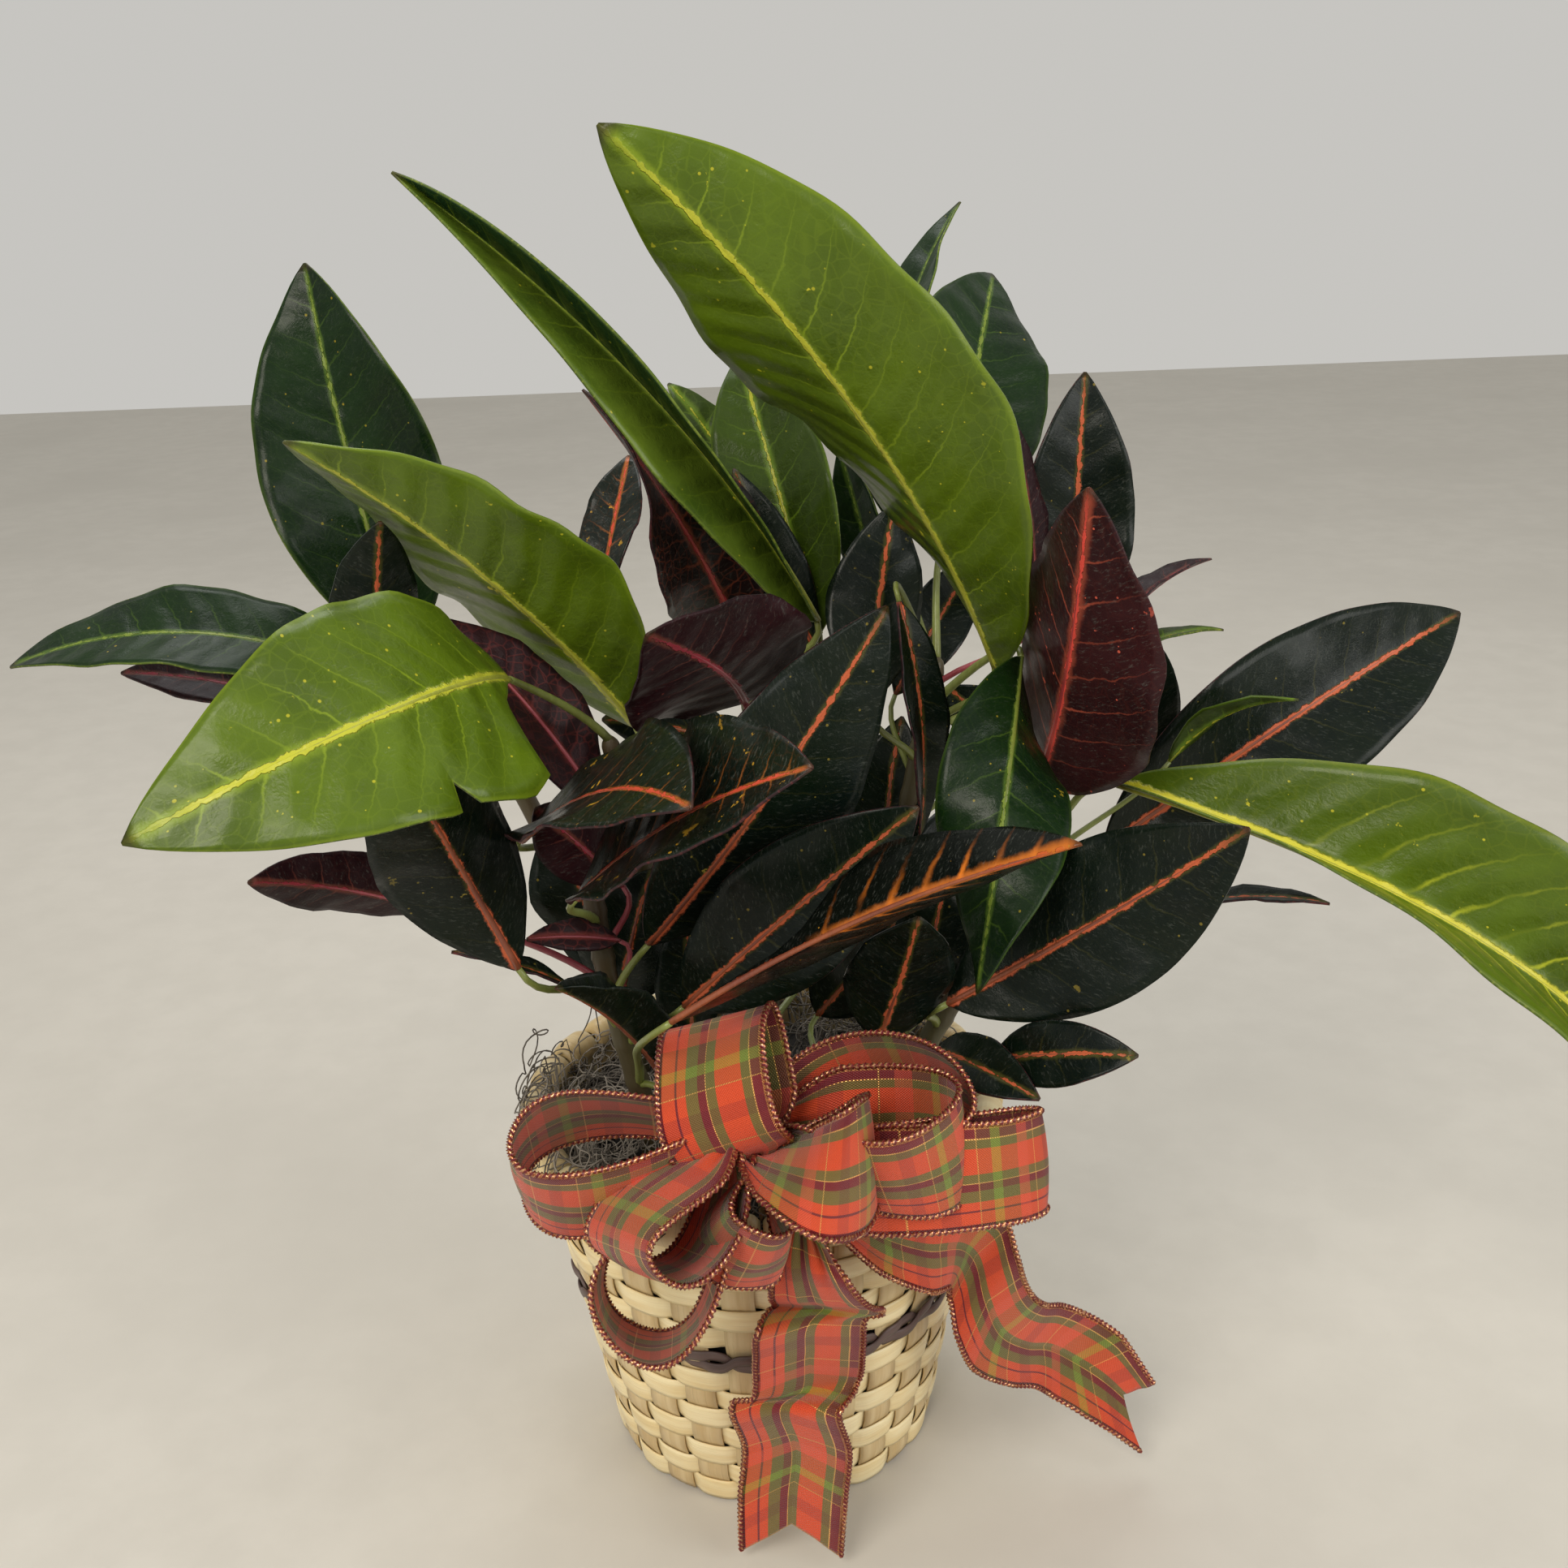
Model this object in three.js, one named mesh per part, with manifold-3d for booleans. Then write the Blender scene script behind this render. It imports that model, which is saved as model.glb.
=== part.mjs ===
// Croton in a woven bamboo basket, with moss over the soil and a plaid ribbon bow.
// Millimetres, +Z up. The origin is the middle of the basket's underside; -Y is the bow's side.
import * as THREE from 'three';
import { mergeVertices } from 'three/addons/utils/BufferGeometryUtils.js';
import Module from 'manifold-3d';

const wasm = await Module();
wasm.setup();

const { PI, sin, cos, abs, max, min, pow, hypot } = Math;
const rad = (degrees) => degrees * PI / 180;

// Clearance between pieces that touch
const GAP = 0.35;

// Sides of the round pieces
const ROUND = 32;

// Basket: a cone of flat strips, plain weave, 26 stakes
const STAKES = 26;
const BASE_RADIUS = 63;
const WALL_TOP = 127;
const WALL_FLARE = 0.168;
const WALL_THICK = 3.2;
const ROW_HEIGHT = 9.7;
const ROWS_BELOW_BAND = 7;
const ROWS_ABOVE_BAND = 5;
const BAND_HEIGHT = 12;
const BAND_STRIP = 4.2;
const BAND_THICK = 1.1;
const BAND_SWING = 2.3;
const WEAVE_OVER = 1.9;
const WEAVE_STAKE = 0.9;
const BASE_THICK = 4;
const RIM_RADIUS = 84.6;
const RIM_HEIGHT = 134;
const RIM_TUBE = 6.4;
const RIM_LOBE_OUT = 2.6;
const RIM_LOBE_UP = 6;
const RIM_SIDES = 6;

// Grow pot, 15 cm across the lip
const POT_FOOT = BASE_THICK + GAP;
const POT_FOOT_RADIUS = 53;
const POT_WALL = 1.8;
const POT_LIP_RADIUS = 77.4;
const POT_LIP_LOW = 110;
const POT_TOP = 118;
const POT_NECK_RADIUS = 73.4;

// Soil and moss
const SOIL_TOP = 107;
const MOSS_TOP = 131;
const MOSS_BUMP = 3.2;

// Leaves
// A blade's outline is sin(pi t^BLADE_LEAN)^BLADE_FULLNESS from its foot to its tip
const BLADE_LEAN = 0.92;
const BLADE_FULLNESS = 0.8;
const BLADE_THICK = 0.9;
const BLADE_STEPS = 9;
const SMALL_BLADE_STEPS = 7;
const TIP_WIDTH = 1.4;
const PETIOLE_WIDTH = 3;
const PETIOLE_THICK = 2.4;
const PETIOLE_LIFT = 0.4;
const PETIOLE_HANDLE = 0.4;
const PETIOLE_STEPS = 3;
const STEM_RADIUS = 4.2;
const EDGE_WAVES = 2.5;
const MOST_WAVE = 2.2;
const WAVE_SHARE = 0.035;
const SMALL_LENGTH = 75;

// Ribbon
const RIBBON_WIDTH = 38;
const RIBBON_THICK = 0.9;
const LOOP_STEPS = 9;
const LOOP_ROUNDNESS = 0.85;
// A loop's ribbon is gathered to PINCH of its width at the knot, full by PINCH_END of the way
const PINCH = 0.22;
const PINCH_END = 0.42;
const TAIL_STEPS = 18;
const BOW_KNOT = [1, -97, 176];
const KNOT_SIZE = [15, 12.5, 16];
const NOTCH_DEPTH = 14;

const GREEN = { color: 0x4f7a1e, roughness: 0.42 };
const DARK = { color: 0x1c2c26, roughness: 0.38 };
const BURGUNDY = { color: 0x40191f, roughness: 0.45 };
const BARK = { color: 0x6f6a3c, roughness: 0.7 };
const STRAW = { color: 0xd9c898, roughness: 0.5 };
const BROWN_STRIP = { color: 0x5c4a46, roughness: 0.6 };
const POT_PLASTIC = { color: 0x2b2d2c, roughness: 0.55 };
const SOIL = { color: 0x2f241a, roughness: 0.95 };
const MOSS = { color: 0x7d786f, roughness: 0.95 };
const RIBBON = { color: 0xd5522a, roughness: 0.6 };
const WOOD = { color: 0xb9935c, roughness: 0.7 };

// Each stem's line, from its foot in the soil to its growing tip
const STEMS = {
  front_left: [[-34, -16, 64], [-42, -25, 150], [-50, -31, 200], [-54, -28, 240], [-56, -24, 262]],
  left: [[-16, 10, 64], [-28, 8, 160], [-40, 4, 240], [-47, -4, 284]],
  back_left: [[-36, 32, 64], [-62, 40, 180], [-90, 45, 255], [-103, 44, 284]],
  middle: [[0, 20, 64], [4, 25, 180], [2, 31, 260], [3, 34, 298]],
  back_right: [[32, 16, 64], [47, 19, 180], [62, 24, 260], [70, 27, 298]],
  right: [[40, -14, 64], [57, -22, 160], [84, -16, 205], [107, -4, 240]],
  front_right: [[12, -28, 64], [22, -36, 140], [30, -42, 168]],
};

// Leaf: name, colour, stem, height of its seat on the stem, foot of the blade, heading and rise
// of its chord in degrees, length, width, arch, sideways sweep, then roll, fold of each half
// and twist in degrees.
const LEAVES = [
  ['green_far_right', GREEN, 'right', 229, [126, -20, 265], -5, -35, 236, 85, 61, -9, 48, 49, 27],
  ['green_top', GREEN, 'back_right', 282, [87, 3, 300], -156, 54, 221, 88, 1, 17, 25, 17, 32],
  ['green_folded', GREEN, 'middle', 290, [27, 26, 313], 192, 50, 202, 58, 15, -15, -103, 71, 17],
  ['green_mid_left', GREEN, 'left', 278, [-39, 17, 279], 211, 46, 159, 72, 3, 8, 32, 17, -8],
  ['green_back_left', GREEN, 'back_left', 280, [-130, 72, 293], 146, 79, 147, 69, 7, 2, -45, 21, -28],
  ['green_front_left', GREEN, 'left', 282, [-73, -39, 316], -126, -2, 142, 71, 34, 7, -46, 3, -1],
  ['green_far_left', GREEN, 'back_left', 283, [-130, 31, 296], -178, 5, 131, 42, 18, -2, -27, 9, 3],
  ['green_back_tip', GREEN, 'back_right', 291, [57, 72, 338], 59, 61, 126, 38, 11, 3, -28, 17, -5],
  ['green_hanging', GREEN, 'back_right', 295, [94, -11, 308], -107, -46, 117, 45, -13, 0, 167, 14, 70],
  ['green_back_right', GREEN, 'back_right', 294, [73, 45, 336], 70, 47, 117, 59, 14, 4, 34, 5, 15],
  ['green_back_middle', GREEN, 'middle', 265, [28, 38, 305], 119, 61, 108, 47, 10, -2, -41, 23, 5],
  ['green_behind_a', GREEN, 'back_right', 264, [53, 68, 306], 130, 69, 62, 22, 1, -1, -71, 19, -5],
  ['green_behind_b', GREEN, 'middle', 296, [5, 69, 339], 144, 54, 62, 22, 5, -1, -23, 17, -6],
  ['green_small_right', GREEN, 'right', 226, [148, -1, 265], -34, 34, 52, 16, 6, -1, -25, 19, 7],
  ['dark_right_back', DARK, 'right', 219, [128, 8, 229], 16, 27, 159, 60, 16, 3, 61, 21, -5],
  ['dark_zigzag', DARK, 'front_left', 242, [-24, -102, 225], -23, 31, 144, 45, 7, -3, -83, 58, 4],
  ['dark_middle', DARK, 'front_left', 253, [-34, -48, 225], 8, 53, 137, 55, 9, 1, 100, 6, -8],
  ['dark_front_upper', DARK, 'front_left', 226, [-53, -72, 254], -45, 33, 124, 59, 4, 4, 38, 18, 7],
  ['dark_right_front', DARK, 'right', 232, [64, -60, 205], -20, 38, 117, 51, 5, 1, -109, 1, 9],
  ['dark_net', DARK, 'middle', 291, [-2, 44, 305], 226, 56, 115, 51, 8, 1, -87, 20, 59],
  ['dark_front_speckled', DARK, 'left', 278, [-71, -59, 269], -55, 22, 112, 51, 6, 8, 26, 13, 5],
  ['dark_left_front', DARK, 'front_left', 236, [-74, -70, 229], -113, 61, 102, 49, 9, 2, 60, 24, 7],
  ['dark_front_lower', DARK, 'front_left', 235, [-23, -57, 206], -9, 43, 107, 45, 3, 1, 80, 10, 0],
  ['dark_right_top', DARK, 'back_right', 274, [119, 38, 297], 60, 85, 97, 42, 3, 1, 30, 17, 5],
  ['dark_twisted', DARK, 'back_right', 291, [53, -15, 330], -49, -84, 81, 22, 4, 1, -7, 21, -11],
  ['dark_left_tip', DARK, 'back_left', 278, [-123, -2, 292], -62, 71, 77, 33, 5, 0, 3, 17, -1],
  ['dark_centre_tip', DARK, 'back_right', 277, [44, 6, 289], 64, 69, 69, 37, 3, 0, -138, 13, -5],
  ['dark_curled', DARK, 'front_left', 229, [-32, -52, 176], -133, 51, 67, 34, 4, 0, 0, 50, 0],
  ['dark_behind_a', DARK, 'back_right', 271, [55, 37, 281], 49, 38, 65, 25, 5, 0, 36, 13, 0],
  ['dark_low_middle', DARK, 'front_right', 164, [41, -60, 192], -58, 67, 59, 36, 1, 1, -30, 8, -1],
  ['dark_behind_b', DARK, 'middle', 288, [-51, 41, 320], 73, 50, 59, 25, 2, -1, -10, 16, 15],
  ['dark_right_shadow', DARK, 'right', 237, [146, 24, 247], -100, 85, 57, 23, 4, 0, 0, 15, 1],
  ['dark_low_right', DARK, 'right', 210, [78, -68, 188], -35, 18, 53, 22, 3, 1, 60, 12, -4],
  ['dark_low_stalked', DARK, 'front_right', 161, [61, -53, 184], -54, 4, 49, 21, 4, 0, 38, 23, 1],
  ['burgundy_right', BURGUNDY, 'right', 232, [102, -1, 259], -88, 60, 135, 71, -4, 8, -60, 16, 1],
  ['burgundy_middle', BURGUNDY, 'middle', 280, [1, -14, 297], -111, 31, 85, 65, -2, 5, 39, 0, 10],
  ['burgundy_left_under', BURGUNDY, 'front_left', 261, [-51, -10, 260], 171, 53, 84, 38, 5, 0, -22, 14, 6],
  ['burgundy_low_left', BURGUNDY, 'front_left', 251, [-105, -31, 231], -144, 26, 70, 27, 5, 0, 68, 18, 14],
  ['burgundy_inner', BURGUNDY, 'front_left', 256, [-42, -38, 242], -140, 50, 48, 26, 4, 1, 84, 14, -7],
];

// The smallest leaves grow in one piece with their stem, given as in the list above
const SMALL_LEAVES = [
  ['right', 235, [124, 26, 285], 17, 15, 56, 12, 6, 1, -1, 18, 2],
  ['middle', 281, [26, 34, 300], 149, 64, 71, 21, 3, 0, -55, 10, 8],
  ['right', 216, [151, -13, 215], -10, 3, 51, 13, 3, 0, 0, 15, 5],
  ['front_left', 224, [-62, -45, 209], -173, 24, 41, 12, 2, 0, 0, 15, 0],
  ['back_left', 276, [-157, 49, 281], -181, 12, 76, 27, 4, 0, -30, 14, 0],
  ['back_right', 290, [102, 13, 316], 165, 82, 70, 20, 3, 1, -12, 14, 2],
  ['right', 236, [126, 22, 294], 33, 28, 63, 22, 7, 0, -17, 21, 5],
  ['front_left', 247, [-45, -36, 221], -161, 12, 32, 13, 2, 0, -34, 14, 1],
];

// Ribbon loop: pinch point, heading and rise in degrees, roll of the ribbon's width,
// length, opening, twist in degrees, sideways lean.
const LOOPS = [
  [[8, -95, 179], 185, -1, 31, 84, 32, 9, 2],
  [[1.1, -102.2, 174.5], -149.1, 240.1, 139, -36.7, 33.6, 6.7, 22.3],
  [[-5.3, -102.8, 189], 231.5, -40.5, 64.5, 52.7, 28.5, 10.9, -10],
  [[-1, -95, 175], 264, -27, 18, 39, 25, 14, 2],
  [[-9, -101.2, 178.6], -13.3, 5.9, 19.5, 47.9, 49, 95.3, -10.9],
  [[-1, -87, 179], -31, 1, -12, 68, 30, -21, 11],
  [[0, -102, 168], -7, 4, -6, 90, 11, 14, 6],
  [[-1, -97, 168], 24, 23, -26, 69, 32, -40, -21],
  [[-2, -92.5, 180.5], 210, -46, 54, 76, 37, -5, 5],
];

// Ribbon tail: middle of the ribbon, turn and slant of its width in degrees, width there
const TAILS = {
  front: [
    [14, -104, 150, -20, -30, 14], [15, -110, 139, -25, 0, 26], [20, -106, 118, -20, 10, 34],
    [17, -96, 100, 25, 5, 38], [12, -88, 77, 20, 5, 38], [6, -97, 73, 18, 3, 38],
    [5, -104, 68, -12, 3, 38], [8, -98, 54, -15, 5, 38], [6, -93, 30, -10, 8, 38],
    [5, -92, 5, -8, 0, 36],
  ],
  side: [
    [27, -99, 152, 0, 75, 16], [40, -93, 139, 0, 85, 30], [55, -84, 127, 0, 90, 36],
    [68, -72, 118, -20, 75, 38], [74, -66, 107, 0, 58, 38], [77, -68, 93, 0, 55, 38],
    [83, -64, 75, 0, 57, 38], [93, -58, 64, 0, 72, 38], [102, -52, 58, 0, 76, 38],
    [112, -48, 49, 0, 68, 38], [123, -51, 42, 0, 72, 38], [139, -54, 25, 0, 84, 32],
  ],
};

const PICK_ROUTE = [[2, -56, 72], [1, -65, 120], [0, -73, 148], [0, -80, 165], [0, -88, 174]];
const PICK_RADIUS = 1.7;

// A closed geometry as a solid, and a solid as a geometry
function toSolid(geometry) {
  const bare = geometry.clone();
  bare.deleteAttribute('normal');
  bare.deleteAttribute('uv');
  const welded = mergeVertices(bare, 1e-4);
  const triVerts = new Uint32Array(welded.index.array);
  const vertProperties = new Float32Array(welded.attributes.position.array);
  return new wasm.Manifold(new wasm.Mesh({ numProp: 3, vertProperties, triVerts }));
}

function toGeometry(solid) {
  const mesh = solid.getMesh();
  const geometry = new THREE.BufferGeometry();
  geometry.setAttribute('position', new THREE.BufferAttribute(mesh.vertProperties, 3));
  geometry.setIndex(new THREE.BufferAttribute(mesh.triVerts, 1));
  geometry.computeVertexNormals();
  return geometry;
}

// The one body that matters, where a cut leaves scraps
function largest(solid) {
  const pieces = solid.decompose();
  pieces.sort((a, b) => b.volume() - a.volume());
  return pieces[0];
}

// A thin sheet over a grid of rows: at(i, u) gives, on row i and at u from -1 to 1 across it,
// the middle surface's point, its normal and the thickness. Both faces are split alike.
function sheetGeometry(rows, across, at) {
  const positions = [];
  const index = [];
  const width = across + 1;
  const layer = (rows + 1) * width;
  for (const side of [0.5, -0.5]) {
    for (let k = 0; k < layer; k++) {
      const { point, normal, thick } = at(Math.floor(k / width), 2 * (k % width) / across - 1);
      point.addScaledVector(normal, side * thick);
      positions.push(point.x, point.y, point.z);
    }
  }
  const wall = (a, b) => index.push(a, b, b + layer, a, b + layer, a + layer);
  for (let i = 0; i < rows; i++) {
    for (let j = 0; j < across; j++) {
      const a = i * width + j;
      const b = a + width;
      index.push(a, b, b + 1, a, b + 1, a + 1);
      index.push(a + layer, b + 1 + layer, b + layer, a + layer, a + 1 + layer, b + 1 + layer);
    }
    const a = i * width;
    wall(a + width, a);
    wall(a + across, a + width + across);
  }
  for (let j = 0; j < across; j++) {
    wall(j, j + 1);
    wall(rows * width + j + 1, rows * width + j);
  }
  const geometry = new THREE.BufferGeometry();
  geometry.setAttribute('position', new THREE.Float32BufferAttribute(positions, 3));
  geometry.setIndex(index);
  return geometry;
}

// A round rod of few sides along a smooth route
function rodGeometry(route, radius, sides, steps) {
  const points = route.map((p) => (p.isVector3 ? p : new THREE.Vector3(...p)));
  const outline = new THREE.Shape();
  for (let k = 0; k < sides; k++) {
    const a = 2 * PI * k / sides;
    if (k) outline.lineTo(radius * cos(a), radius * sin(a));
    else outline.moveTo(radius, 0);
  }
  const extrudePath = new THREE.CatmullRomCurve3(points, false, 'centripetal');
  return new THREE.ExtrudeGeometry(outline, { steps, bevelEnabled: false, extrudePath });
}

// The leaf's frame: along its chord, across it, and out of its face
function leafFrame(heading, rise, roll) {
  const [a, b, r] = [rad(heading), rad(rise), rad(roll)];
  const chord = new THREE.Vector3(cos(a) * cos(b), sin(a) * cos(b), sin(b));
  const level = new THREE.Vector3(-sin(a), cos(a), 0);
  const up = new THREE.Vector3().crossVectors(chord, level);
  const across = level.clone().multiplyScalar(cos(r)).addScaledVector(up, sin(r));
  const face = up.clone().multiplyScalar(cos(r)).addScaledVector(level, -sin(r));
  return { chord, across, face };
}

// A blade: pointed ellipse, folded along its midrib, with a waved edge
function bladeSurface(row) {
  const [foot, heading, rise, length, width, arch, sweep, roll, fold, twist] = row;
  const { chord, across, face } = leafFrame(heading, rise, roll);
  const start = new THREE.Vector3(...foot);
  const wave = min(MOST_WAVE, width * WAVE_SHARE);
  const bow = (t) => face.clone().multiplyScalar(t * arch).addScaledVector(across, t * sweep);
  const frame = (t) => {
    const along = chord.clone().multiplyScalar(length).add(bow(4 * (1 - 2 * t))).normalize();
    const turn = rad(twist) * (2 * t - 1);
    const side = across.clone().multiplyScalar(cos(turn)).addScaledVector(face, sin(turn));
    side.addScaledVector(along, -side.dot(along)).normalize();
    return { along, side, out: new THREE.Vector3().crossVectors(along, side) };
  };
  const at = (t, u) => {
    const { side, out } = frame(t);
    const outline = pow(max(0, sin(PI * pow(t, BLADE_LEAN))), BLADE_FULLNESS);
    const half = max(width / 2 * outline, TIP_WIDTH / 2);
    const ripple = wave * outline * sin(2 * PI * EDGE_WAVES * t + length) * u * u;
    const point = start.clone()
      .addScaledVector(chord, t * length)
      .add(bow(4 * t * (1 - t)))
      .addScaledVector(side, u * half * cos(rad(fold)))
      .addScaledVector(out, abs(u) * half * sin(rad(fold)) + ripple);
    return { point, normal: out, thick: BLADE_THICK };
  };
  return { start, frame, at };
}

const stemCurves = {};
const stemSolids = {};
for (const [name, line] of Object.entries(STEMS)) {
  const points = line.map((p) => new THREE.Vector3(...p));
  stemCurves[name] = new THREE.CatmullRomCurve3(points, false, 'centripetal');
  stemSolids[name] = toSolid(rodGeometry(line, STEM_RADIUS, 6, 6));
}

function grownStem(name) {
  return toSolid(rodGeometry(STEMS[name], STEM_RADIUS + GAP, 6, 6));
}

// The point of a stem's middle line at a height
function seatOn(stem, height) {
  const curve = stemCurves[stem];
  const at = (k) => curve.getPoint(k / 400);
  let k = 0;
  while (k < 396 && at(k).z < height) k++;
  return at(k);
}

// A leaf in one sheet: the petiole from the stem's middle line to the blade, then the blade.
// The petiole's sections are worked out from the blade back, each turned as little as can be.
function leafSolid(stem, seatHeight, row) {
  const [, , , length, width] = row;
  const surface = bladeSurface(row);
  const foot = surface.start;
  const seat = seatOn(stem, seatHeight);
  const reach = foot.distanceTo(seat);
  const outward = foot.clone().sub(seat).normalize();
  outward.z += PETIOLE_LIFT;
  outward.normalize();
  const { along, side } = surface.frame(0);
  const route = new THREE.CubicBezierCurve3(
    foot,
    foot.clone().addScaledVector(along, -min(reach * PETIOLE_HANDLE, width)),
    seat.clone().addScaledVector(outward, reach * PETIOLE_HANDLE),
    seat,
  );
  const sections = [];
  for (let k = 0; k <= PETIOLE_STEPS; k++) {
    const tangent = route.getTangent(k / PETIOLE_STEPS).negate();
    side.addScaledVector(tangent, -side.dot(tangent)).normalize();
    const out = new THREE.Vector3().crossVectors(tangent, side);
    sections.unshift({ point: route.getPoint(k / PETIOLE_STEPS), side: side.clone(), out });
  }
  const steps = length < SMALL_LENGTH ? SMALL_BLADE_STEPS : BLADE_STEPS;
  const at = (i, u) => {
    if (i > PETIOLE_STEPS) return surface.at((i - PETIOLE_STEPS) / steps, u);
    const { point, side: edge, out } = sections[i];
    const place = point.clone().addScaledVector(edge, u * PETIOLE_WIDTH / 2);
    return { point: place, normal: out, thick: PETIOLE_THICK };
  };
  return toSolid(sheetGeometry(PETIOLE_STEPS + steps, 2, at));
}

function wallRadius(z) {
  return BASE_RADIUS + WALL_FLARE * z;
}

// Relief of the plain weave: a strip bulges where it passes over a stake
function weaveRelief(column, row) {
  if (column % 2) return 0;
  return (column / 2 + row) % 2 ? WEAVE_OVER : WEAVE_STAKE;
}

function basketWall() {
  const columns = 2 * STAKES;
  const levels = [];
  const addRows = (low, count) => {
    for (let k = 0; k < count; k++) {
      levels.push({ z: low + (k + 0.06) * ROW_HEIGHT, row: -1 });
      levels.push({ z: low + (k + 0.5) * ROW_HEIGHT, row: k });
    }
    levels.push({ z: low + count * ROW_HEIGHT, row: -1 });
  };
  const bandLow = ROWS_BELOW_BAND * ROW_HEIGHT;
  const bandHigh = bandLow + BAND_HEIGHT;
  addRows(0, ROWS_BELOW_BAND);
  addRows(bandHigh, ROWS_ABOVE_BAND);
  const outer = levels.filter((level) => level.z <= WALL_TOP - 2);
  outer.unshift({ z: 0, row: -1 });
  outer.push({ z: WALL_TOP, row: -1 });
  const profile = outer.map(({ z }) => new THREE.Vector2(wallRadius(z), z));
  const inner = [WALL_TOP, 0].map((z) => new THREE.Vector2(wallRadius(z) - WALL_THICK, z));
  profile.push(...inner, profile[0].clone());
  const geometry = new THREE.LatheGeometry(profile, columns);
  const position = geometry.attributes.position;
  const rows = profile.length;
  for (let k = 0; k < position.count; k++) {
    const column = Math.floor(k / rows) % columns;
    const level = outer[k % rows];
    if (!level || level.row < 0) continue;
    const radius = hypot(position.getX(k), position.getZ(k));
    const grow = (radius + weaveRelief(column, level.row)) / radius;
    position.setX(k, position.getX(k) * grow);
    position.setZ(k, position.getZ(k) * grow);
  }
  return upright(geometry);
}

// A lathe turns round Y, and the basket stands along Z
function upright(geometry) {
  return geometry.rotateX(PI / 2);
}

function basketBase() {
  const radius = wallRadius(0) - WALL_THICK - GAP;
  const profile = [[0, 0], [radius - 1, 0], [radius, 1], [radius, BASE_THICK], [0, BASE_THICK]];
  return upright(new THREE.LatheGeometry(profile.map((p) => new THREE.Vector2(...p)), ROUND));
}

// One of two thin dark strips that twine: each rises and falls past the other over every
// second stake, and lies outside it at one crossing and inside it at the next
function darkStrip(sign) {
  const middle = ROWS_BELOW_BAND * ROW_HEIGHT + BAND_HEIGHT / 2;
  const at = (s, u) => {
    const angle = 2 * PI * s;
    const turn = STAKES / 2 * angle + PI / 4;
    const z = middle + sign * BAND_SWING * Math.sign(sin(turn)) + BAND_STRIP / 2 * u;
    const lap = sign * (BAND_THICK + GAP) / 2 * Math.sign(cos(turn));
    const radius = wallRadius(z) + 1.5 * BAND_THICK + 1.5 * GAP - BAND_THICK / 2 + lap;
    const normal = new THREE.Vector3(cos(angle), sin(angle), 0);
    return { point: normal.clone().multiplyScalar(radius).setZ(z), normal };
  };
  return ringSheet(2 * STAKES, BAND_THICK, at);
}

// A flat strip that closes on itself
function ringSheet(steps, thick, at) {
  const positions = [];
  const index = [];
  for (let i = 0; i < steps; i++) {
    for (const [u, side] of [[-1, 0.5], [1, 0.5], [1, -0.5], [-1, -0.5]]) {
      const { point, normal } = at(i / steps, u);
      point.addScaledVector(normal, side * thick);
      positions.push(point.x, point.y, point.z);
    }
    for (let k = 0; k < 4; k++) {
      const a = 4 * i + k;
      const b = 4 * i + (k + 1) % 4;
      const c = 4 * ((i + 1) % steps) + (k + 1) % 4;
      const d = 4 * ((i + 1) % steps) + k;
      index.push(a, c, b, a, d, c);
    }
  }
  const geometry = new THREE.BufferGeometry();
  geometry.setAttribute('position', new THREE.Float32BufferAttribute(positions, 3));
  geometry.setIndex(index);
  return geometry;
}

// The rolled rim: a ring whose outside stands up and out in one lobe for each stake
function basketRim() {
  const profile = [];
  for (let k = 0; k <= RIM_SIDES; k++) {
    const a = 2 * PI * k / RIM_SIDES - PI / 2;
    const point = new THREE.Vector2(RIM_RADIUS + RIM_TUBE * cos(a), RIM_HEIGHT + RIM_TUBE * sin(a));
    profile.push(point);
  }
  const geometry = new THREE.LatheGeometry(profile, 4 * STAKES);
  const position = geometry.attributes.position;
  for (let k = 0; k < position.count; k++) {
    const [x, y, z] = [position.getX(k), position.getY(k), position.getZ(k)];
    const radius = hypot(x, z);
    const lobe = pow(abs(sin(STAKES / 2 * Math.atan2(z, x))), 0.7);
    const outward = max(0, (radius - RIM_RADIUS) / RIM_TUBE);
    const upward = max(0, (y - RIM_HEIGHT) / RIM_TUBE);
    const grow = (radius + RIM_LOBE_OUT * lobe * outward) / radius;
    position.setXYZ(k, x * grow, y + RIM_LOBE_UP * lobe * upward, z * grow);
  }
  return upright(geometry);
}

// Inside radius of the grow pot at a height
function potInside(z) {
  const rise = (z - POT_FOOT) / (POT_LIP_LOW - POT_FOOT);
  return POT_FOOT_RADIUS + (POT_NECK_RADIUS - POT_FOOT_RADIUS) * rise - POT_WALL;
}

function growPot() {
  const floor = POT_FOOT + POT_WALL;
  const profile = [
    [0, POT_FOOT], [POT_FOOT_RADIUS, POT_FOOT], [POT_NECK_RADIUS, POT_LIP_LOW],
    [POT_LIP_RADIUS, POT_LIP_LOW], [POT_LIP_RADIUS, POT_TOP], [POT_LIP_RADIUS - POT_WALL, POT_TOP],
    [potInside(POT_LIP_LOW), POT_LIP_LOW + POT_WALL], [potInside(floor), floor], [0, floor],
  ];
  return upright(new THREE.LatheGeometry(profile.map((p) => new THREE.Vector2(...p)), ROUND));
}

function soilSolid() {
  const floor = POT_FOOT + POT_WALL + GAP;
  const profile = [
    [0, floor], [potInside(floor) - GAP, floor], [potInside(SOIL_TOP - 3) - GAP, SOIL_TOP - 3],
    [56, SOIL_TOP], [0, SOIL_TOP + 1],
  ];
  return toSolid(upright(new THREE.LatheGeometry(profile.map((p) => new THREE.Vector2(...p)), ROUND)));
}

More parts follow.
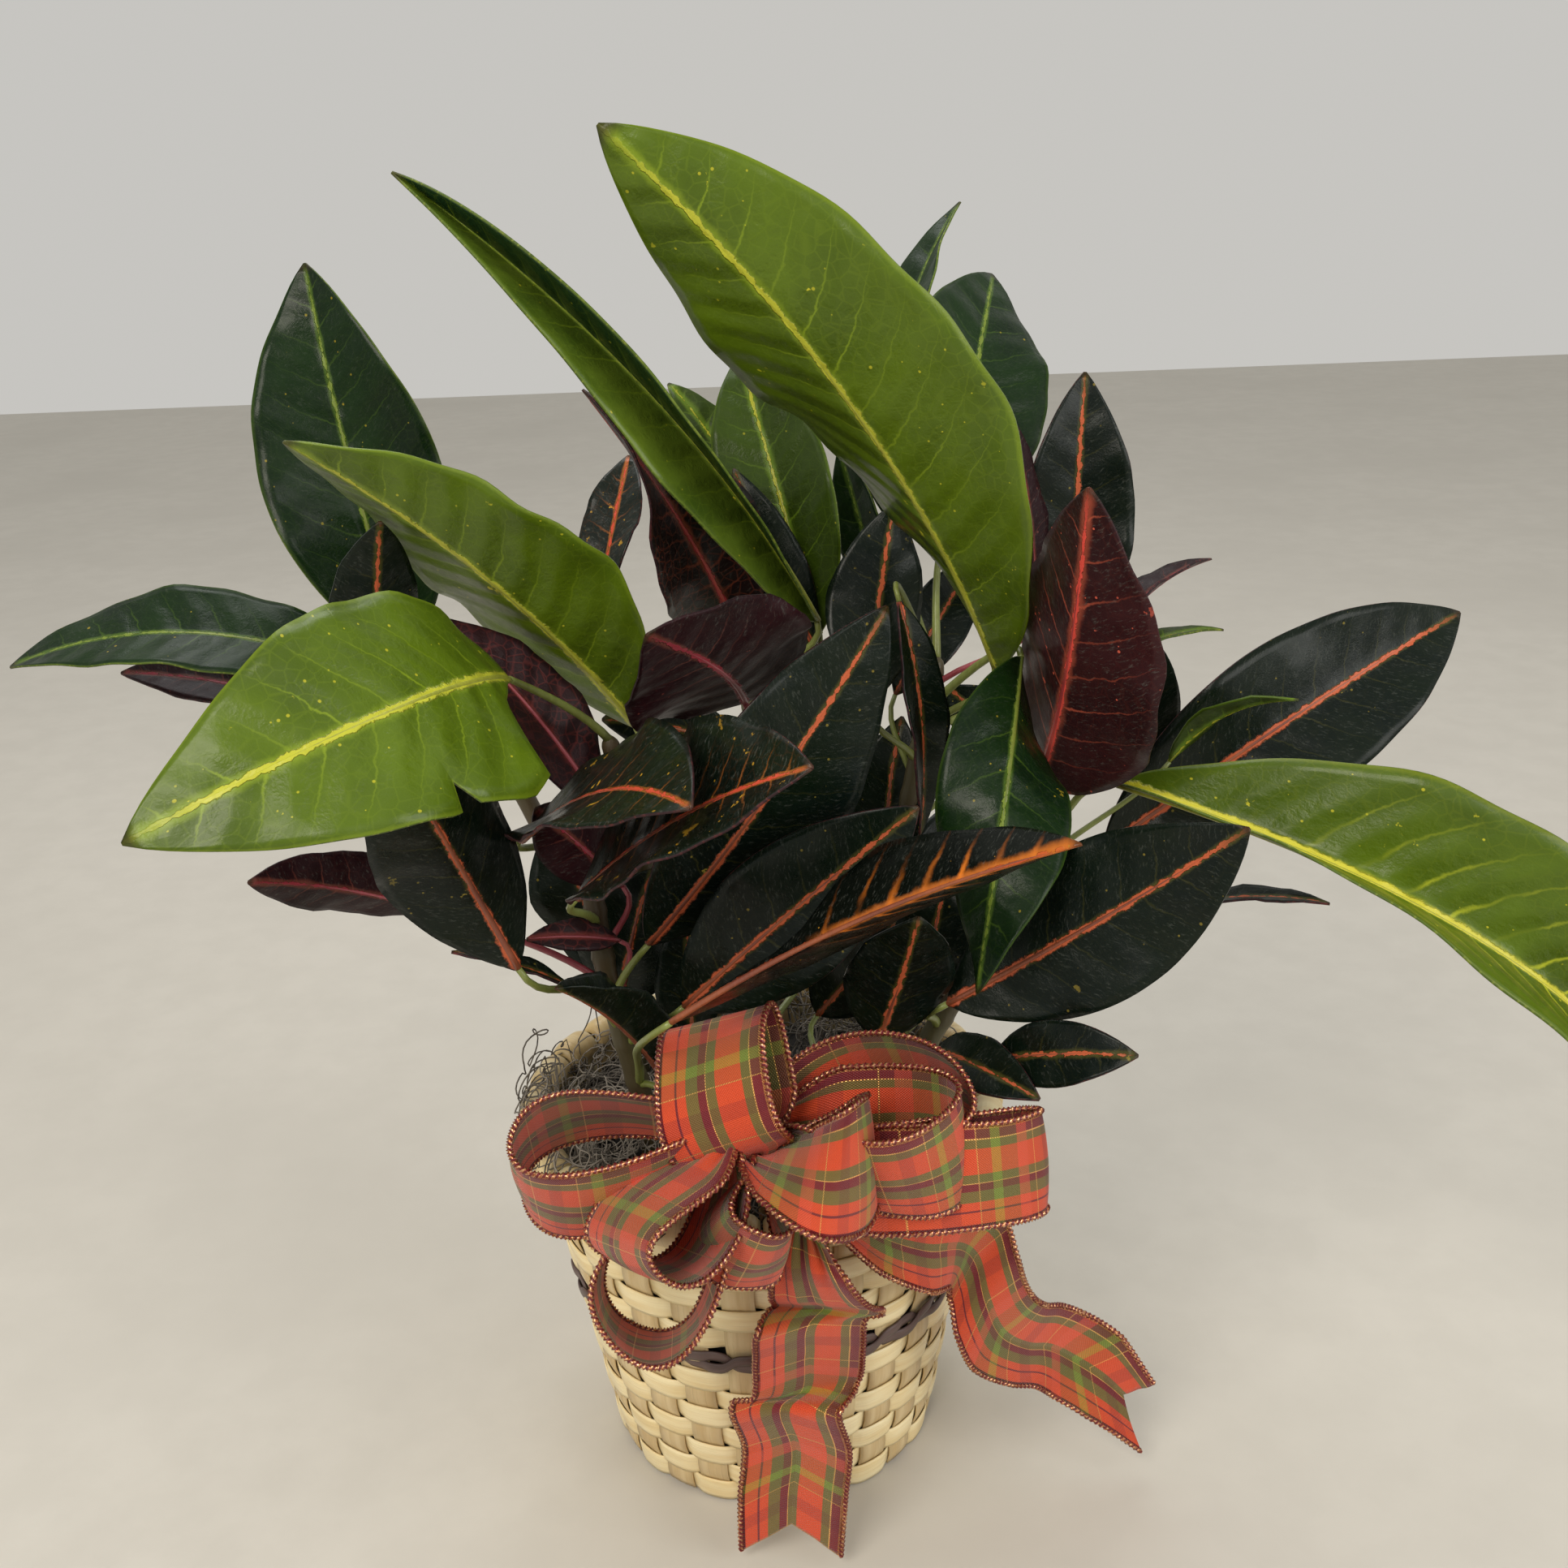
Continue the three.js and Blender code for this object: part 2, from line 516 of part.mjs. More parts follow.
// The bed of moss: fills the pot above the soil, laps its lip and lies in uneven tufts
function mossSolid() {
  const inside = potInside(POT_LIP_LOW) - 2 * GAP;
  const profile = [
    [0, SOIL_TOP + 1.4], [56, SOIL_TOP + 0.4], [inside - 2, SOIL_TOP - 2.5],
    [inside, POT_TOP + GAP], [POT_LIP_RADIUS, POT_TOP + GAP], [POT_LIP_RADIUS + 1, POT_TOP + 5],
    [74, MOSS_TOP - 2], [58, MOSS_TOP + 1], [40, MOSS_TOP], [20, MOSS_TOP + 1], [0, MOSS_TOP],
  ];
  const geometry = new THREE.LatheGeometry(profile.map((p) => new THREE.Vector2(...p)), 28);
  const position = geometry.attributes.position;
  for (let k = 0; k < position.count; k++) {
    const [x, y, z] = [position.getX(k), position.getY(k), position.getZ(k)];
    if (y < MOSS_TOP - 3) continue;
    const tuft = sin(x / 7 + 1) * cos(z / 6) + 0.5 * sin(x / 4 + z / 5);
    position.setY(k, y + MOSS_BUMP * tuft);
  }
  return toSolid(upright(geometry));
}

// Ribbon loop: a teardrop from the pinch and back, the ribbon's width square to it
function loopSurface(row) {
  const [pinch, heading, rise, roll, length, opening, twist, lean] = row;
  const { chord, across, face } = leafFrame(heading, rise, 0);
  const width = face.clone().multiplyScalar(cos(rad(roll))).addScaledVector(across, sin(rad(roll)));
  const spread = new THREE.Vector3().crossVectors(width, chord);
  const start = new THREE.Vector3(...pinch);
  const line = (s) => {
    const out = pow(max(0, sin(PI * s)), LOOP_ROUNDNESS);
    return start.clone()
      .addScaledVector(chord, length * out)
      .addScaledVector(spread, opening * 0.5 * sin(2 * PI * s) + lean * out * out);
  };
  return (i, u) => {
    const s = i / LOOP_STEPS;
    const out = pow(max(0, sin(PI * s)), LOOP_ROUNDNESS);
    const x = min(out / PINCH_END, 1);
    const half = RIBBON_WIDTH / 2 * (PINCH + (1 - PINCH) * x * x * (3 - 2 * x));
    const turn = rad(twist) * (2 * s - 1);
    const edge = width.clone().multiplyScalar(cos(turn)).addScaledVector(spread, sin(turn));
    const step = 0.004;
    const along = line(min(s + step, 1)).sub(line(max(s - step, 0)));
    const normal = new THREE.Vector3().crossVectors(along, edge).normalize();
    return { point: line(s).addScaledVector(edge, u * half), normal, thick: RIBBON_THICK };
  };
}

function bowSolid() {
  const knot = new THREE.IcosahedronGeometry(1, 1).scale(...KNOT_SIZE).translate(...BOW_KNOT);
  let bow = toSolid(knot);
  for (const row of LOOPS) {
    bow = bow.add(toSolid(sheetGeometry(LOOP_STEPS, 1, loopSurface(row))));
  }
  return largest(bow);
}

// Ribbon tail: through its stations, with a forked end
function tailSurface(stations) {
  const pick = (k) => stations.map((row) => row[k]);
  const route = new THREE.CatmullRomCurve3(stations.map((row) => new THREE.Vector3(...row)));
  const blend = (values, s) => {
    const x = s * (values.length - 1);
    const k = min(Math.floor(x), values.length - 2);
    return values[k] + (values[k + 1] - values[k]) * (x - k);
  };
  return (i, u) => {
    const s = i / TAIL_STEPS;
    const turn = rad(blend(pick(3), s));
    const slant = rad(blend(pick(4), s));
    const half = blend(pick(5), s) / 2;
    const edge = new THREE.Vector3(cos(turn) * cos(slant), sin(turn) * cos(slant), sin(slant));
    const along = route.getTangent(s);
    const normal = new THREE.Vector3().crossVectors(along, edge).normalize();
    const point = route.getPoint(s).addScaledVector(edge, u * half);
    if (s === 1) point.addScaledVector(along, NOTCH_DEPTH * (abs(u) - 1));
    return { point, normal, thick: RIBBON_THICK };
  };
}

const part = new THREE.Group();

function add(name, geometry, finish) {
  const material = new THREE.MeshStandardMaterial({ metalness: 0, ...finish });
  const mesh = new THREE.Mesh(geometry, material);
  mesh.name = name;
  part.add(mesh);
}

add('basket_base', basketBase(), STRAW);
add('basket_wall', basketWall(), STRAW);
add('basket_dark_strip_a', darkStrip(1), BROWN_STRIP);
add('basket_dark_strip_b', darkStrip(-1), BROWN_STRIP);
add('basket_rim', basketRim(), STRAW);
add('grow_pot', growPot(), POT_PLASTIC);

const stemNames = Object.keys(STEMS);
const pickSolid = toSolid(rodGeometry(PICK_ROUTE, PICK_RADIUS, 6, 8));
const pickHole = toSolid(rodGeometry(PICK_ROUTE, PICK_RADIUS + GAP, 6, 8));
const bow = bowSolid();
const sink = (solid) => stemNames.reduce((left, name) => left.subtract(grownStem(name)), solid);
add('soil', toGeometry(sink(soilSolid()).subtract(pickHole)), SOIL);
add('moss_bed', toGeometry(sink(mossSolid()).subtract(pickHole)), MOSS);

for (const name of stemNames) {
  let solid = stemSolids[name];
  for (const [stem, seat, ...row] of SMALL_LEAVES) {
    if (stem === name) solid = solid.add(leafSolid(stem, seat, row));
  }
  add(`stem_${name}`, toGeometry(solid), BARK);
}
for (const [name, finish, stem, seat, ...row] of LEAVES) {
  const solid = largest(leafSolid(stem, seat, row).subtract(grownStem(stem)));
  add(`leaf_${name}`, toGeometry(solid), finish);
}

add('ribbon_bow', toGeometry(bow), RIBBON);
add('bow_pick', toGeometry(largest(pickSolid.subtract(bow))), WOOD);
for (const [name, stations] of Object.entries(TAILS)) {
  const tail = toSolid(sheetGeometry(TAIL_STEPS, 2, tailSurface(stations)));
  add(`ribbon_tail_${name}`, toGeometry(largest(tail.subtract(bow))), RIBBON);
}

export default part;
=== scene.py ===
"""A young croton in a woven bamboo basket, grey moss over its soil, a plaid wired bow on the rim.

Lengths in the tables are millimetres, angles are degrees, and the meshes are in metres.
"""

import math
from functools import partial

import bpy
import numpy as np
from mathutils import Matrix, Vector


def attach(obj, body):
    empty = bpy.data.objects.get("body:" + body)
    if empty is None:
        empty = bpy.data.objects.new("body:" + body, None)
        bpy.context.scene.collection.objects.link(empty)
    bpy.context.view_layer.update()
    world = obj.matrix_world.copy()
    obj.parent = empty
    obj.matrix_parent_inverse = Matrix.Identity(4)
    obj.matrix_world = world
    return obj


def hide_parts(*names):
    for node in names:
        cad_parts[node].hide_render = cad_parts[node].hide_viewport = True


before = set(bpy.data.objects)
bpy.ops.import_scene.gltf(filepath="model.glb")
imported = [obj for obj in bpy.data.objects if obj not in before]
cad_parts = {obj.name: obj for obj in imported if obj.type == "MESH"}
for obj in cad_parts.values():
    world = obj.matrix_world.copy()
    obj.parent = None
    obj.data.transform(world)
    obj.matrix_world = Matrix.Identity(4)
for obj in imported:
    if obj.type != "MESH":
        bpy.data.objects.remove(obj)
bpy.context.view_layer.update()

MM = 0.001
SEAM_GAP = 1e-6  # metres between points that are one
EASED = {"interpolation_type": "SMOOTHSTEP"}
TURN = 2 * math.pi
dice = np.random.default_rng(26)


# ---- plain vector work


def unit(v):
    return v / np.maximum(np.linalg.norm(v, axis=-1, keepdims=True), 1e-12)


def dots(a, b):
    return (a * b).sum(-1, keepdims=True)


def chord_frame(heading, rise, roll=0):
    """The way a leaf or loop points, the level across it and its face."""
    a, b, r = map(math.radians, (heading, rise, roll))
    chord = np.array([math.cos(a) * math.cos(b), math.sin(a) * math.cos(b), math.sin(b)])
    level = np.array([-math.sin(a), math.cos(a), 0.0])
    up = np.cross(chord, level)
    across, face = math.cos(r) * level + math.sin(r) * up, math.cos(r) * up - math.sin(r) * level
    return chord, across, face


def smooth_route(stations, at):
    """Points at 0 to 1 along a centripetal curve through the stations."""
    p = np.array(stations, float)
    p = np.vstack([2 * p[:1] - p[1:2], p, 2 * p[-1:] - p[-2:-1]])
    x = np.clip(np.asarray(at, float), 0, 1) * (len(p) - 3)
    i = np.minimum(x.astype(int), len(p) - 4)
    w = (x - i)[:, None]
    a, b, c, d = (p[i + k] for k in range(4))
    gap = lambda q, r: np.maximum(np.linalg.norm(q - r, axis=1) ** 0.5, 1e-2)[:, None]
    e, f, g = gap(a, b), gap(b, c), gap(c, d)
    m = ((b - a) / e - (c - a) / (e + f) + (c - b) / f) * f
    n = ((c - b) / f - (d - b) / (f + g) + (d - c) / g) * f
    return b + m * w + (-3 * b + 3 * c - 2 * m - n) * w**2 + (2 * b - 2 * c + m + n) * w**3


# ---- pieces


def write_marks(piece, mm, marks):
    """Keeps each point's place on the piece, in mm, as its UV, and its marks as a colour."""
    mesh = piece.data
    ids = np.zeros(len(mesh.loops), int)
    mesh.loops.foreach_get("vertex_index", ids)
    layer = mesh.uv_layers.active
    layer.name = "mm"
    layer.data.foreach_set("uv", mm[ids].astype(np.float32).ravel())
    colour = mesh.attributes.new("marks", "FLOAT_COLOR", "POINT")
    full = np.ones((len(mm), 4), np.float32)
    full[:, : marks.shape[1]] = marks
    colour.data.foreach_set("color", full.ravel())


def shaped_grid(name, across, along, place, close=False):
    """A flat grid whose points go where place(u, t) says, in mm; u is -1 to 1, t is 0 to 1."""
    bpy.ops.object.select_all(action="DESELECT")
    bpy.ops.mesh.primitive_grid_add(x_subdivisions=across, y_subdivisions=along, size=2)
    piece = bpy.context.object
    piece.name = piece.data.name = name
    flat = np.zeros(len(piece.data.vertices) * 3)
    piece.data.vertices.foreach_get("co", flat)
    where, mm, marks = place(flat[::3], (flat[1::3] + 1) / 2)
    write_marks(piece, mm, marks)
    piece.data.vertices.foreach_set("co", (where * MM).ravel())
    if close:
        close_seams()
    bpy.ops.object.shade_smooth()
    return piece


def close_seams():
    """Joins the active grid's edges where they meet, and turns its faces outwards."""
    bpy.ops.object.mode_set(mode="EDIT")
    bpy.ops.mesh.select_all(action="SELECT")
    bpy.ops.mesh.remove_doubles(threshold=SEAM_GAP)
    bpy.ops.mesh.normals_make_consistent(inside=False)
    bpy.ops.object.mode_set(mode="OBJECT")


def thicken(piece, thick, under=0):
    """Gives a sheet its thickness, half to each side."""
    m = piece.modifiers.new("thickness", "SOLIDIFY")
    m.thickness, m.offset, m.material_offset = thick * MM, 0, under
    bpy.context.view_layer.objects.active = piece
    bpy.ops.object.modifier_apply(modifier=m.name)
    return piece


def rod(name, line, radii, sides=8, flat=1.0):
    """A round rod along a line of points, its ends closed."""
    line, radii = np.asarray(line, float), np.asarray(radii, float)
    way = unit(np.gradient(line, axis=0))
    line, way = (np.vstack([rows[:1], rows, rows[-1:]]) for rows in (line, way))
    radii = np.concatenate([[0], radii, [0]])
    n = len(line)
    x = np.zeros((n, 3))
    first = np.cross(way[0], [0.13, 0.31, 0.94])  # any way but the rod's own
    for i in range(n):
        first = first - way[i] * (first @ way[i])
        first = first / np.linalg.norm(first)
        x[i] = first
    y = np.cross(way, x)
    run = np.concatenate([[0], np.cumsum(np.linalg.norm(np.diff(line, axis=0), axis=1))])

    def place(u, t):
        row = np.rint(t * (n - 1)).astype(int)
        turn = (u + 1) * math.pi
        spoke = np.cos(turn)[:, None] * x[row] + flat * np.sin(turn)[:, None] * y[row]
        mm = np.stack([turn * radii.max(), run[row]], 1)
        return line[row] + radii[row][:, None] * spoke, mm, np.zeros((len(u), 3))

    return shaped_grid(name, sides, n - 1, place, close=True)


def pick_out(parts):
    bpy.ops.object.select_all(action="DESELECT")
    for p in parts:
        p.select_set(True)
    bpy.context.view_layer.objects.active = parts[0]


def joined(name, parts):
    """Several pieces as one."""
    pick_out(parts)
    bpy.ops.object.join()
    parts[0].name = parts[0].data.name = name
    return parts[0]


def finished(piece, slot, *nodes):
    """Puts a piece on the body and hides the CAD nodes that it replaces; slot is not used."""
    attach(piece, "root")
    if nodes:
        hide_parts(*nodes)


def wear(piece, *finishes):
    for f in finishes:
        piece.data.materials.append(f)
    return piece


# ---- finishes


def linear(code):
    """A screen colour code as linear light."""
    parts = [int(code[i : i + 2], 16) / 255 for i in (1, 3, 5)]
    return [c / 12.92 if c <= 0.04045 else ((c + 0.055) / 1.055) ** 2.4 for c in parts]


def put(tree, kind, wires=(), operation="MULTIPLY", **settings):
    """Adds a node; a number, colour code, node or socket goes to each input, named or in turn.

    Math multiplies unless told otherwise. Noise takes a place, 0, scale, detail and roughness.
    """
    made = tree.nodes.new("ShaderNode" + kind)
    if kind == "Math":
        made.operation = operation
    for key, value in settings.items():
        setattr(made, key, value)
    for key, value in wires.items() if isinstance(wires, dict) else enumerate(wires):
        if isinstance(value, bpy.types.Node):
            value = value.outputs[2 if value.bl_idname == "ShaderNodeMix" else 0]
        if isinstance(value, bpy.types.NodeSocket):
            tree.links.new(value, made.inputs[key])
        elif isinstance(value, str):
            made.inputs[key].default_value = linear(value) + [1]
        else:
            made.inputs[key].default_value = value
    return made


def blank(name):
    """An empty finish, and put with its tree filled in."""
    made = bpy.data.materials.new(name)
    made.use_nodes = True
    made.node_tree.nodes.clear()
    return made, partial(put, made.node_tree)


def mm_place(add):
    """How far across and along the piece a point lies, in mm."""
    xy = add("SeparateXYZ", [add("UVMap", uv_map="mm")])
    return xy.outputs[0], xy.outputs[1]


def layered(add, colour, *tints):
    """Lays tints over a colour in turn, each as far as its own mask lets it."""
    for much, tint in tints:
        colour = add("Mix", {0: much, 6: colour, 7: tint}, data_type="RGBA")
    return colour


def finish_off(add, colour, rough, height, depth, **constants):
    """The surface itself: colour, roughness and a relief of depth mm."""
    bump = add("Bump", {"Height": height, "Distance": depth * MM, "Strength": 1})
    wires = {"Base Color": colour, "Roughness": rough, "Normal": bump}
    wires.update({k.replace("_", " "): v for k, v in constants.items()})
    add("OutputMaterial", {"Surface": add("BsdfPrincipled", wires)})


# the first colour is a pale bluish grey for dust on the wax and painted satin sheen; the second is
# the dried tip
BLOOM_AND_SHEEN, DRIED = "#6c7069", "#2a2113"


def leaf_skin(
    name, blade, shade, rib, vein, fleck, pitch, vein_mm, vein_keep, net_keep, fleck_from, spread,
    rib_mm, specks, rough=0.34, coat=0.12, spec=0.26, reach=1.0, shaded_half=None, swell=1.0,
    patch_low=0.45, rim=0.0, veins_from=-0.2, bloom_and_sheen=0.0,
):
    """Croton leaf: a waxy skin over pigment that is strongest along the ribs.

    So it is glossy, and coloured by vein and blotch.
    """
    made, add = blank(name)
    x, y = mm_place(add)
    marks = add("Attribute", attribute_name="marks")
    tip, edge, seed = add("SeparateColor", [marks.outputs["Color"]]).outputs
    deep = add("Math", [seed, 97.0])
    spot = add("CombineXYZ", [x, y, deep])
    cloud = add("TexNoise", [spot, 0, 0.035, 3.0])
    mottle = add("TexNoise", [spot, 0, 0.13, 4.0, 0.62])
    grain = add("TexNoise", [spot, 0, 1.6, 3.0])
    off = add("Math", [x], "ABSOLUTE")
    # side veins leave the midrib in turn, left and right, and bend towards the tip
    bent = add("Math", [off, off])
    rise = add("Math", [off, -0.5, y], "MULTIPLY_ADD")
    rise = add("Math", [bent, -0.006, rise], "MULTIPLY_ADD")
    rise = add("Math", [mottle, 5.0, rise], "MULTIPLY_ADD")
    left = add("Math", [x, 0.0], "GREATER_THAN")
    rise = add("Math", [left, pitch / 2, rise], "MULTIPLY_ADD")
    from_vein = add("Math", [rise, pitch / 2], "PINGPONG")
    vein_half = add("MapRange", [edge, 0.0, 1.0, vein_mm, vein_mm * 0.3])
    vein_line = add("MapRange", [from_vein, 0.0, vein_half, 1.0, 0.0], **EASED)
    fade = add("MapRange", [edge, 0.12, reach, vein_keep, 0.06])
    patchy = add("MapRange", [cloud, 0.4, 0.58, patch_low, 1.0])
    fade = add("Math", [fade, patchy])
    begun = add("MapRange", [tip, veins_from, veins_from + 0.1, 0.0, 1.0])
    veins = add("Math", [vein_line, fade])
    veins = add("Math", [veins, begun])
    # the fine net between them
    net = {"Vector": spot, "Scale": 0.24, "Randomness": 0.9}
    net = add("TexVoronoi", net, feature="DISTANCE_TO_EDGE")
    net = add("MapRange", [net, 0.0, 0.09, net_keep, 0.0], **EASED)
    net = add("Math", [net, patchy])
    # colour that spills from the midrib, and loose blotches
    spill = add("Math", [mottle, spread * 2.2])
    spill = add("MapRange", [off, 0.6, spill, 0.75, 0.0], **EASED)
    spill = add("Math", [spill, begun])
    blotch = add("MapRange", [mottle, fleck_from, fleck_from + 0.03, 0.0, 1.0], **EASED)
    near = add("MapRange", [edge, 0.1, 1.0, 1.0, 0.35])
    blotch = add("Math", [blotch, near])
    # pinhead specks, one in a few cells
    dust = add("TexVoronoi", {"Vector": spot, "Scale": 0.3, "Randomness": 1.0})
    few = add("SeparateColor", [dust.outputs["Color"]])
    size = add("MapRange", [few, 0.7, 1.0, 0.0, 0.2])
    core = add("Math", [size, 0.6])
    dust = add("MapRange", [dust.outputs["Distance"], core, size, specks, 0.0], **EASED)
    # the midrib narrows to the tip, its coloured edge is ragged, and it fades before the tip
    rib_half = add("MapRange", [tip, 0.0, 1.0, rib_mm, rib_mm * 0.28])
    rib_half = add("Math", [rib_half, marks.outputs["Alpha"]])
    rib_core = add("Math", [rib_half, 0.55])
    ragged = add("TexNoise", [spot, 0, 0.34, 3.0, 0.6])
    ragged = add("MapRange", [ragged, 0.3, 0.7, 0.55, -0.75])
    ragged = add("Math", [ragged, off], "ADD")
    ribs = add("MapRange", [ragged, rib_core, rib_half, 1.0, 0.0], **EASED)
    ending = add("MapRange", [tip, 0.88, 0.97, 1.0, 0.25])
    ribs = add("Math", [ribs, ending])
    # short pale bluish streaks along the side veins: dust on the wax, partly a painted satin sheen
    streaks = add("CombineXYZ", [add("Math", [off, 0.35]), rise, deep])
    streaks = add("TexNoise", [streaks, 0, 1.3, 3.0, 0.7])
    dust_and_sheen = add("MapRange", [streaks, 0.56, 0.72, 0.0, bloom_and_sheen])
    # the pale margin and the dried tip
    margin = add("MapRange", [edge, 0.955, 0.985, 0.0, rim])
    dry = add("MapRange", [tip, 0.972, 0.99, 0.0, 0.8])
    colour = layered(add, blade, (add("MapRange", [cloud, 0.35, 0.68, 0.0, 1.0]), shade))
    # painted shade: where x is below 0 the blade takes the darker colour, for the far half of a
    # folded leaf
    if shaded_half:
        colour = layered(add, shaded_half, (left, colour))
    colour = layered(
        add, colour, (dust_and_sheen, BLOOM_AND_SHEEN), (net, vein), (spill, vein), (blotch, fleck),
        (dust, fleck), (veins, vein), (ribs, rib), (margin, vein), (dry, DRIED),
    )
    # the blade swells between its side veins
    quilt = add("MapRange", [from_vein, 0.0, pitch / 2, 0.0, 1.0], **EASED)
    flatter = add("MapRange", [edge, 0.5, 1.0, 1.9 * swell, 0.3 * swell])
    height = add("Math", [grain, 0.12])
    for relief, much in ((quilt, flatter), (net, -0.3), (ribs, 1.2)):
        height = add("Math", [relief, much, height], "MULTIPLY_ADD")
    sheen = add("MapRange", [mottle, 0.3, 0.7, rough - 0.06, rough + 0.1])
    wax = {"Coat_Weight": coat, "Coat_Roughness": 0.12, "Specular_IOR_Level": spec}
    finish_off(add, colour, sheen, height, 0.5, **wax)
    return made


def leaf_underside(name, blade, shade, rib):
    """The underside of a croton leaf: duller, with the ribs standing proud."""
    veined = (11, 1.1, 0.5, 0.35, 0.9, 2, 1.5, 0.0)
    return leaf_skin(name, blade, shade, rib, rib, shade, *veined, rough=0.5, coat=0.05)


def stalk_skin(name, young, old, rough=0.42):
    """Petiole and midrib: a smooth, slightly ridged green stalk."""
    made, add = blank(name)
    place = add("TexCoord").outputs["Object"]
    long_grain = add("Mapping", {"Vector": place, "Scale": (900, 900, 120)})
    streak = add("TexNoise", [long_grain, 0, 1.0, 3.0])
    cloud = add("TexNoise", [place, 0, 45.0, 2.0])
    much = add("MapRange", [cloud, 0.35, 0.65])
    dark = add("MapRange", [streak, 0.3, 0.7, 0.0, 0.25])
    colour = layered(add, young, (much, old), (dark, "#3b2f1c"))
    finish_off(add, colour, rough, streak, 0.15, Coat_Weight=0.15)
    return made


FIBRE_MM = 0.55


def bamboo_strip(name, pale, warm, dark, gloss):
    """Split bamboo, its skin side out: fine straight fibres under a satin natural skin."""
    made, add = blank(name)
    x, y = mm_place(add)
    marks = add("Attribute", attribute_name="marks")
    seed, shade_share, _ = add("SeparateColor", [marks.outputs["Color"]]).outputs
    deep = add("Math", [seed, 60.0])
    along = add("Math", [y, 0.03])
    fibre = add("CombineXYZ", [add("Math", [x, 1 / FIBRE_MM]), along, deep])
    fibre = add("TexNoise", [fibre, 0, 1.0, 5.0, 0.7])
    broad = add("CombineXYZ", [add("Math", [x, 0.25]), along, deep])
    broad = add("TexNoise", [broad, 0, 1.0, 2.0])
    much = add("MapRange", [broad, 0.36, 0.64])
    line = add("MapRange", [fibre, 0.55, 0.8, 0.0, 0.6])
    # painted shade: the strip darkens where it lies hidden, behind a stake, along its tucked edges
    # and deep in the rolled rim
    painted_shade = add("MapRange", [shade_share, 0.0, 1.0, 0.0, 0.75])
    colour = layered(add, pale, (much, warm), (line, dark), (painted_shade, dark))
    rough = add("MapRange", [fibre, 0.3, 0.7, gloss, gloss + 0.14])
    finish_off(add, colour, rough, fibre, 0.12, Coat_Weight=0.12, Coat_Roughness=0.3)
    return made


RIBBON_WIDTH, PLAID_REPEAT, THREAD = 38.0, 47.0, 0.45
STITCH = 0.95
ORANGE, OLIVE, CLARET, GOLD = "#d9491b", "#6c642a", "#6e0f1e", "#f6bf70"
# where each band starts, its colour and its strength, 1 for metallic threads
WARP_BANDS = [
    (0, CLARET, 1), (0.05, ORANGE, 0), (0.17, CLARET, 0), (0.19, ORANGE, 0), (0.27, OLIVE, 0),
    (0.38, CLARET, 0), (0.45, GOLD, 1), (0.46, OLIVE, 0), (0.54, ORANGE, 0), (0.78, OLIVE, 0),
    (0.858, GOLD, 1), (0.868, CLARET, 0), (0.95, "#c98a5a", 1),
]
WEFT_BANDS = [
    (0, "#7a1420", 0.5), (0.12, ORANGE, 0.1), (0.3, GOLD, 1), (0.31, ORANGE, 0.1),
    (0.4, "#df5639", 0.8), (0.52, OLIVE, 0.55), (0.68, "#7ea32e", 0.8), (0.76, OLIVE, 0.4),
    (0.86, GOLD, 1), (0.87, ORANGE, 0.1),
]


def plaid_ribbon():
    """Wired plaid ribbon: dyed polyester threads with metallic ones.

    So it is matt, with glints along the bands.
    """
    made, add = blank("woven plaid polyester ribbon")
    x, y = mm_place(add)
    along = add("Math", [add("Math", [y, 1 / PLAID_REPEAT])], "FRACT")
    warp = add("ValToRGB", [add("Math", [x, 1 / RIBBON_WIDTH])])
    weft = add("ValToRGB", [along])
    paint_bands(warp, WARP_BANDS)
    paint_bands(weft, WEFT_BANDS)
    # plain weave: warp and weft cross at every thread
    wave = [add("Math", [add("Math", [way, math.pi / THREAD])], "SINE") for way in (x, y)]
    cross = add("Math", wave)
    lift = add("MapRange", [cross, -1.0, 1.0, 0.3, 0.85])
    over = add("Math", [lift, weft.outputs[1]])
    glint = add("TexNoise", [add("CombineXYZ", [x, y]), 0, 2.2, 2.0])
    worn = add("MapRange", [glint, 0.35, 0.7, 0.0, 0.1])
    colour = layered(add, warp, (over, weft), (worn, "#2a140f"))
    most = add("Math", [warp.outputs[1], weft.outputs[1]], "MAXIMUM")
    metal = add("MapRange", [most, 0.88, 0.92, 0.0, 0.75])
    shine = add("MapRange", [glint, 0.45, 0.6, 0.2, 0.5])
    rough = add("Mix", {0: metal, 2: 0.55, 3: shine}, data_type="FLOAT").outputs[0]
    cloth = {"Metallic": metal, "Sheen_Weight": 0.25, "Sheen_Roughness": 0.4}
    finish_off(add, colour, rough, cross, 0.12, **cloth)
    return made


def paint_bands(ramp, bands):
    """Sharp bands on a colour ramp, from (start, colour, strength)."""
    stops = ramp.color_ramp
    stops.interpolation = "CONSTANT"
    while len(stops.elements) < len(bands):
        stops.elements.new(1.0)
    for stop in list(stops.elements):  # out of the way, or they would change places
        stop.position = 0.999
    for stop, (start, code, strength) in zip(stops.elements, bands):
        stop.position, stop.color = start, linear(code) + [strength]


def speckled(name, first, second, third, scale, rough, depth):
    """A matt, grainy stuff on Object coordinates; scale is grains to the metre."""
    made, add = blank(name)
    place = add("TexCoord").outputs["Object"]
    fine = add("TexNoise", [place, 0, scale, 5.0, 0.6])
    broad = add("TexNoise", [place, 0, scale * 0.13, 2.0])
    much = add("MapRange", [fine, 0.38, 0.62])
    here = add("MapRange", [broad, 0.45, 0.7, 0.0, 0.7])
    finish_off(add, layered(add, first, (much, second), (here, third)), rough, fine, depth)
    return made


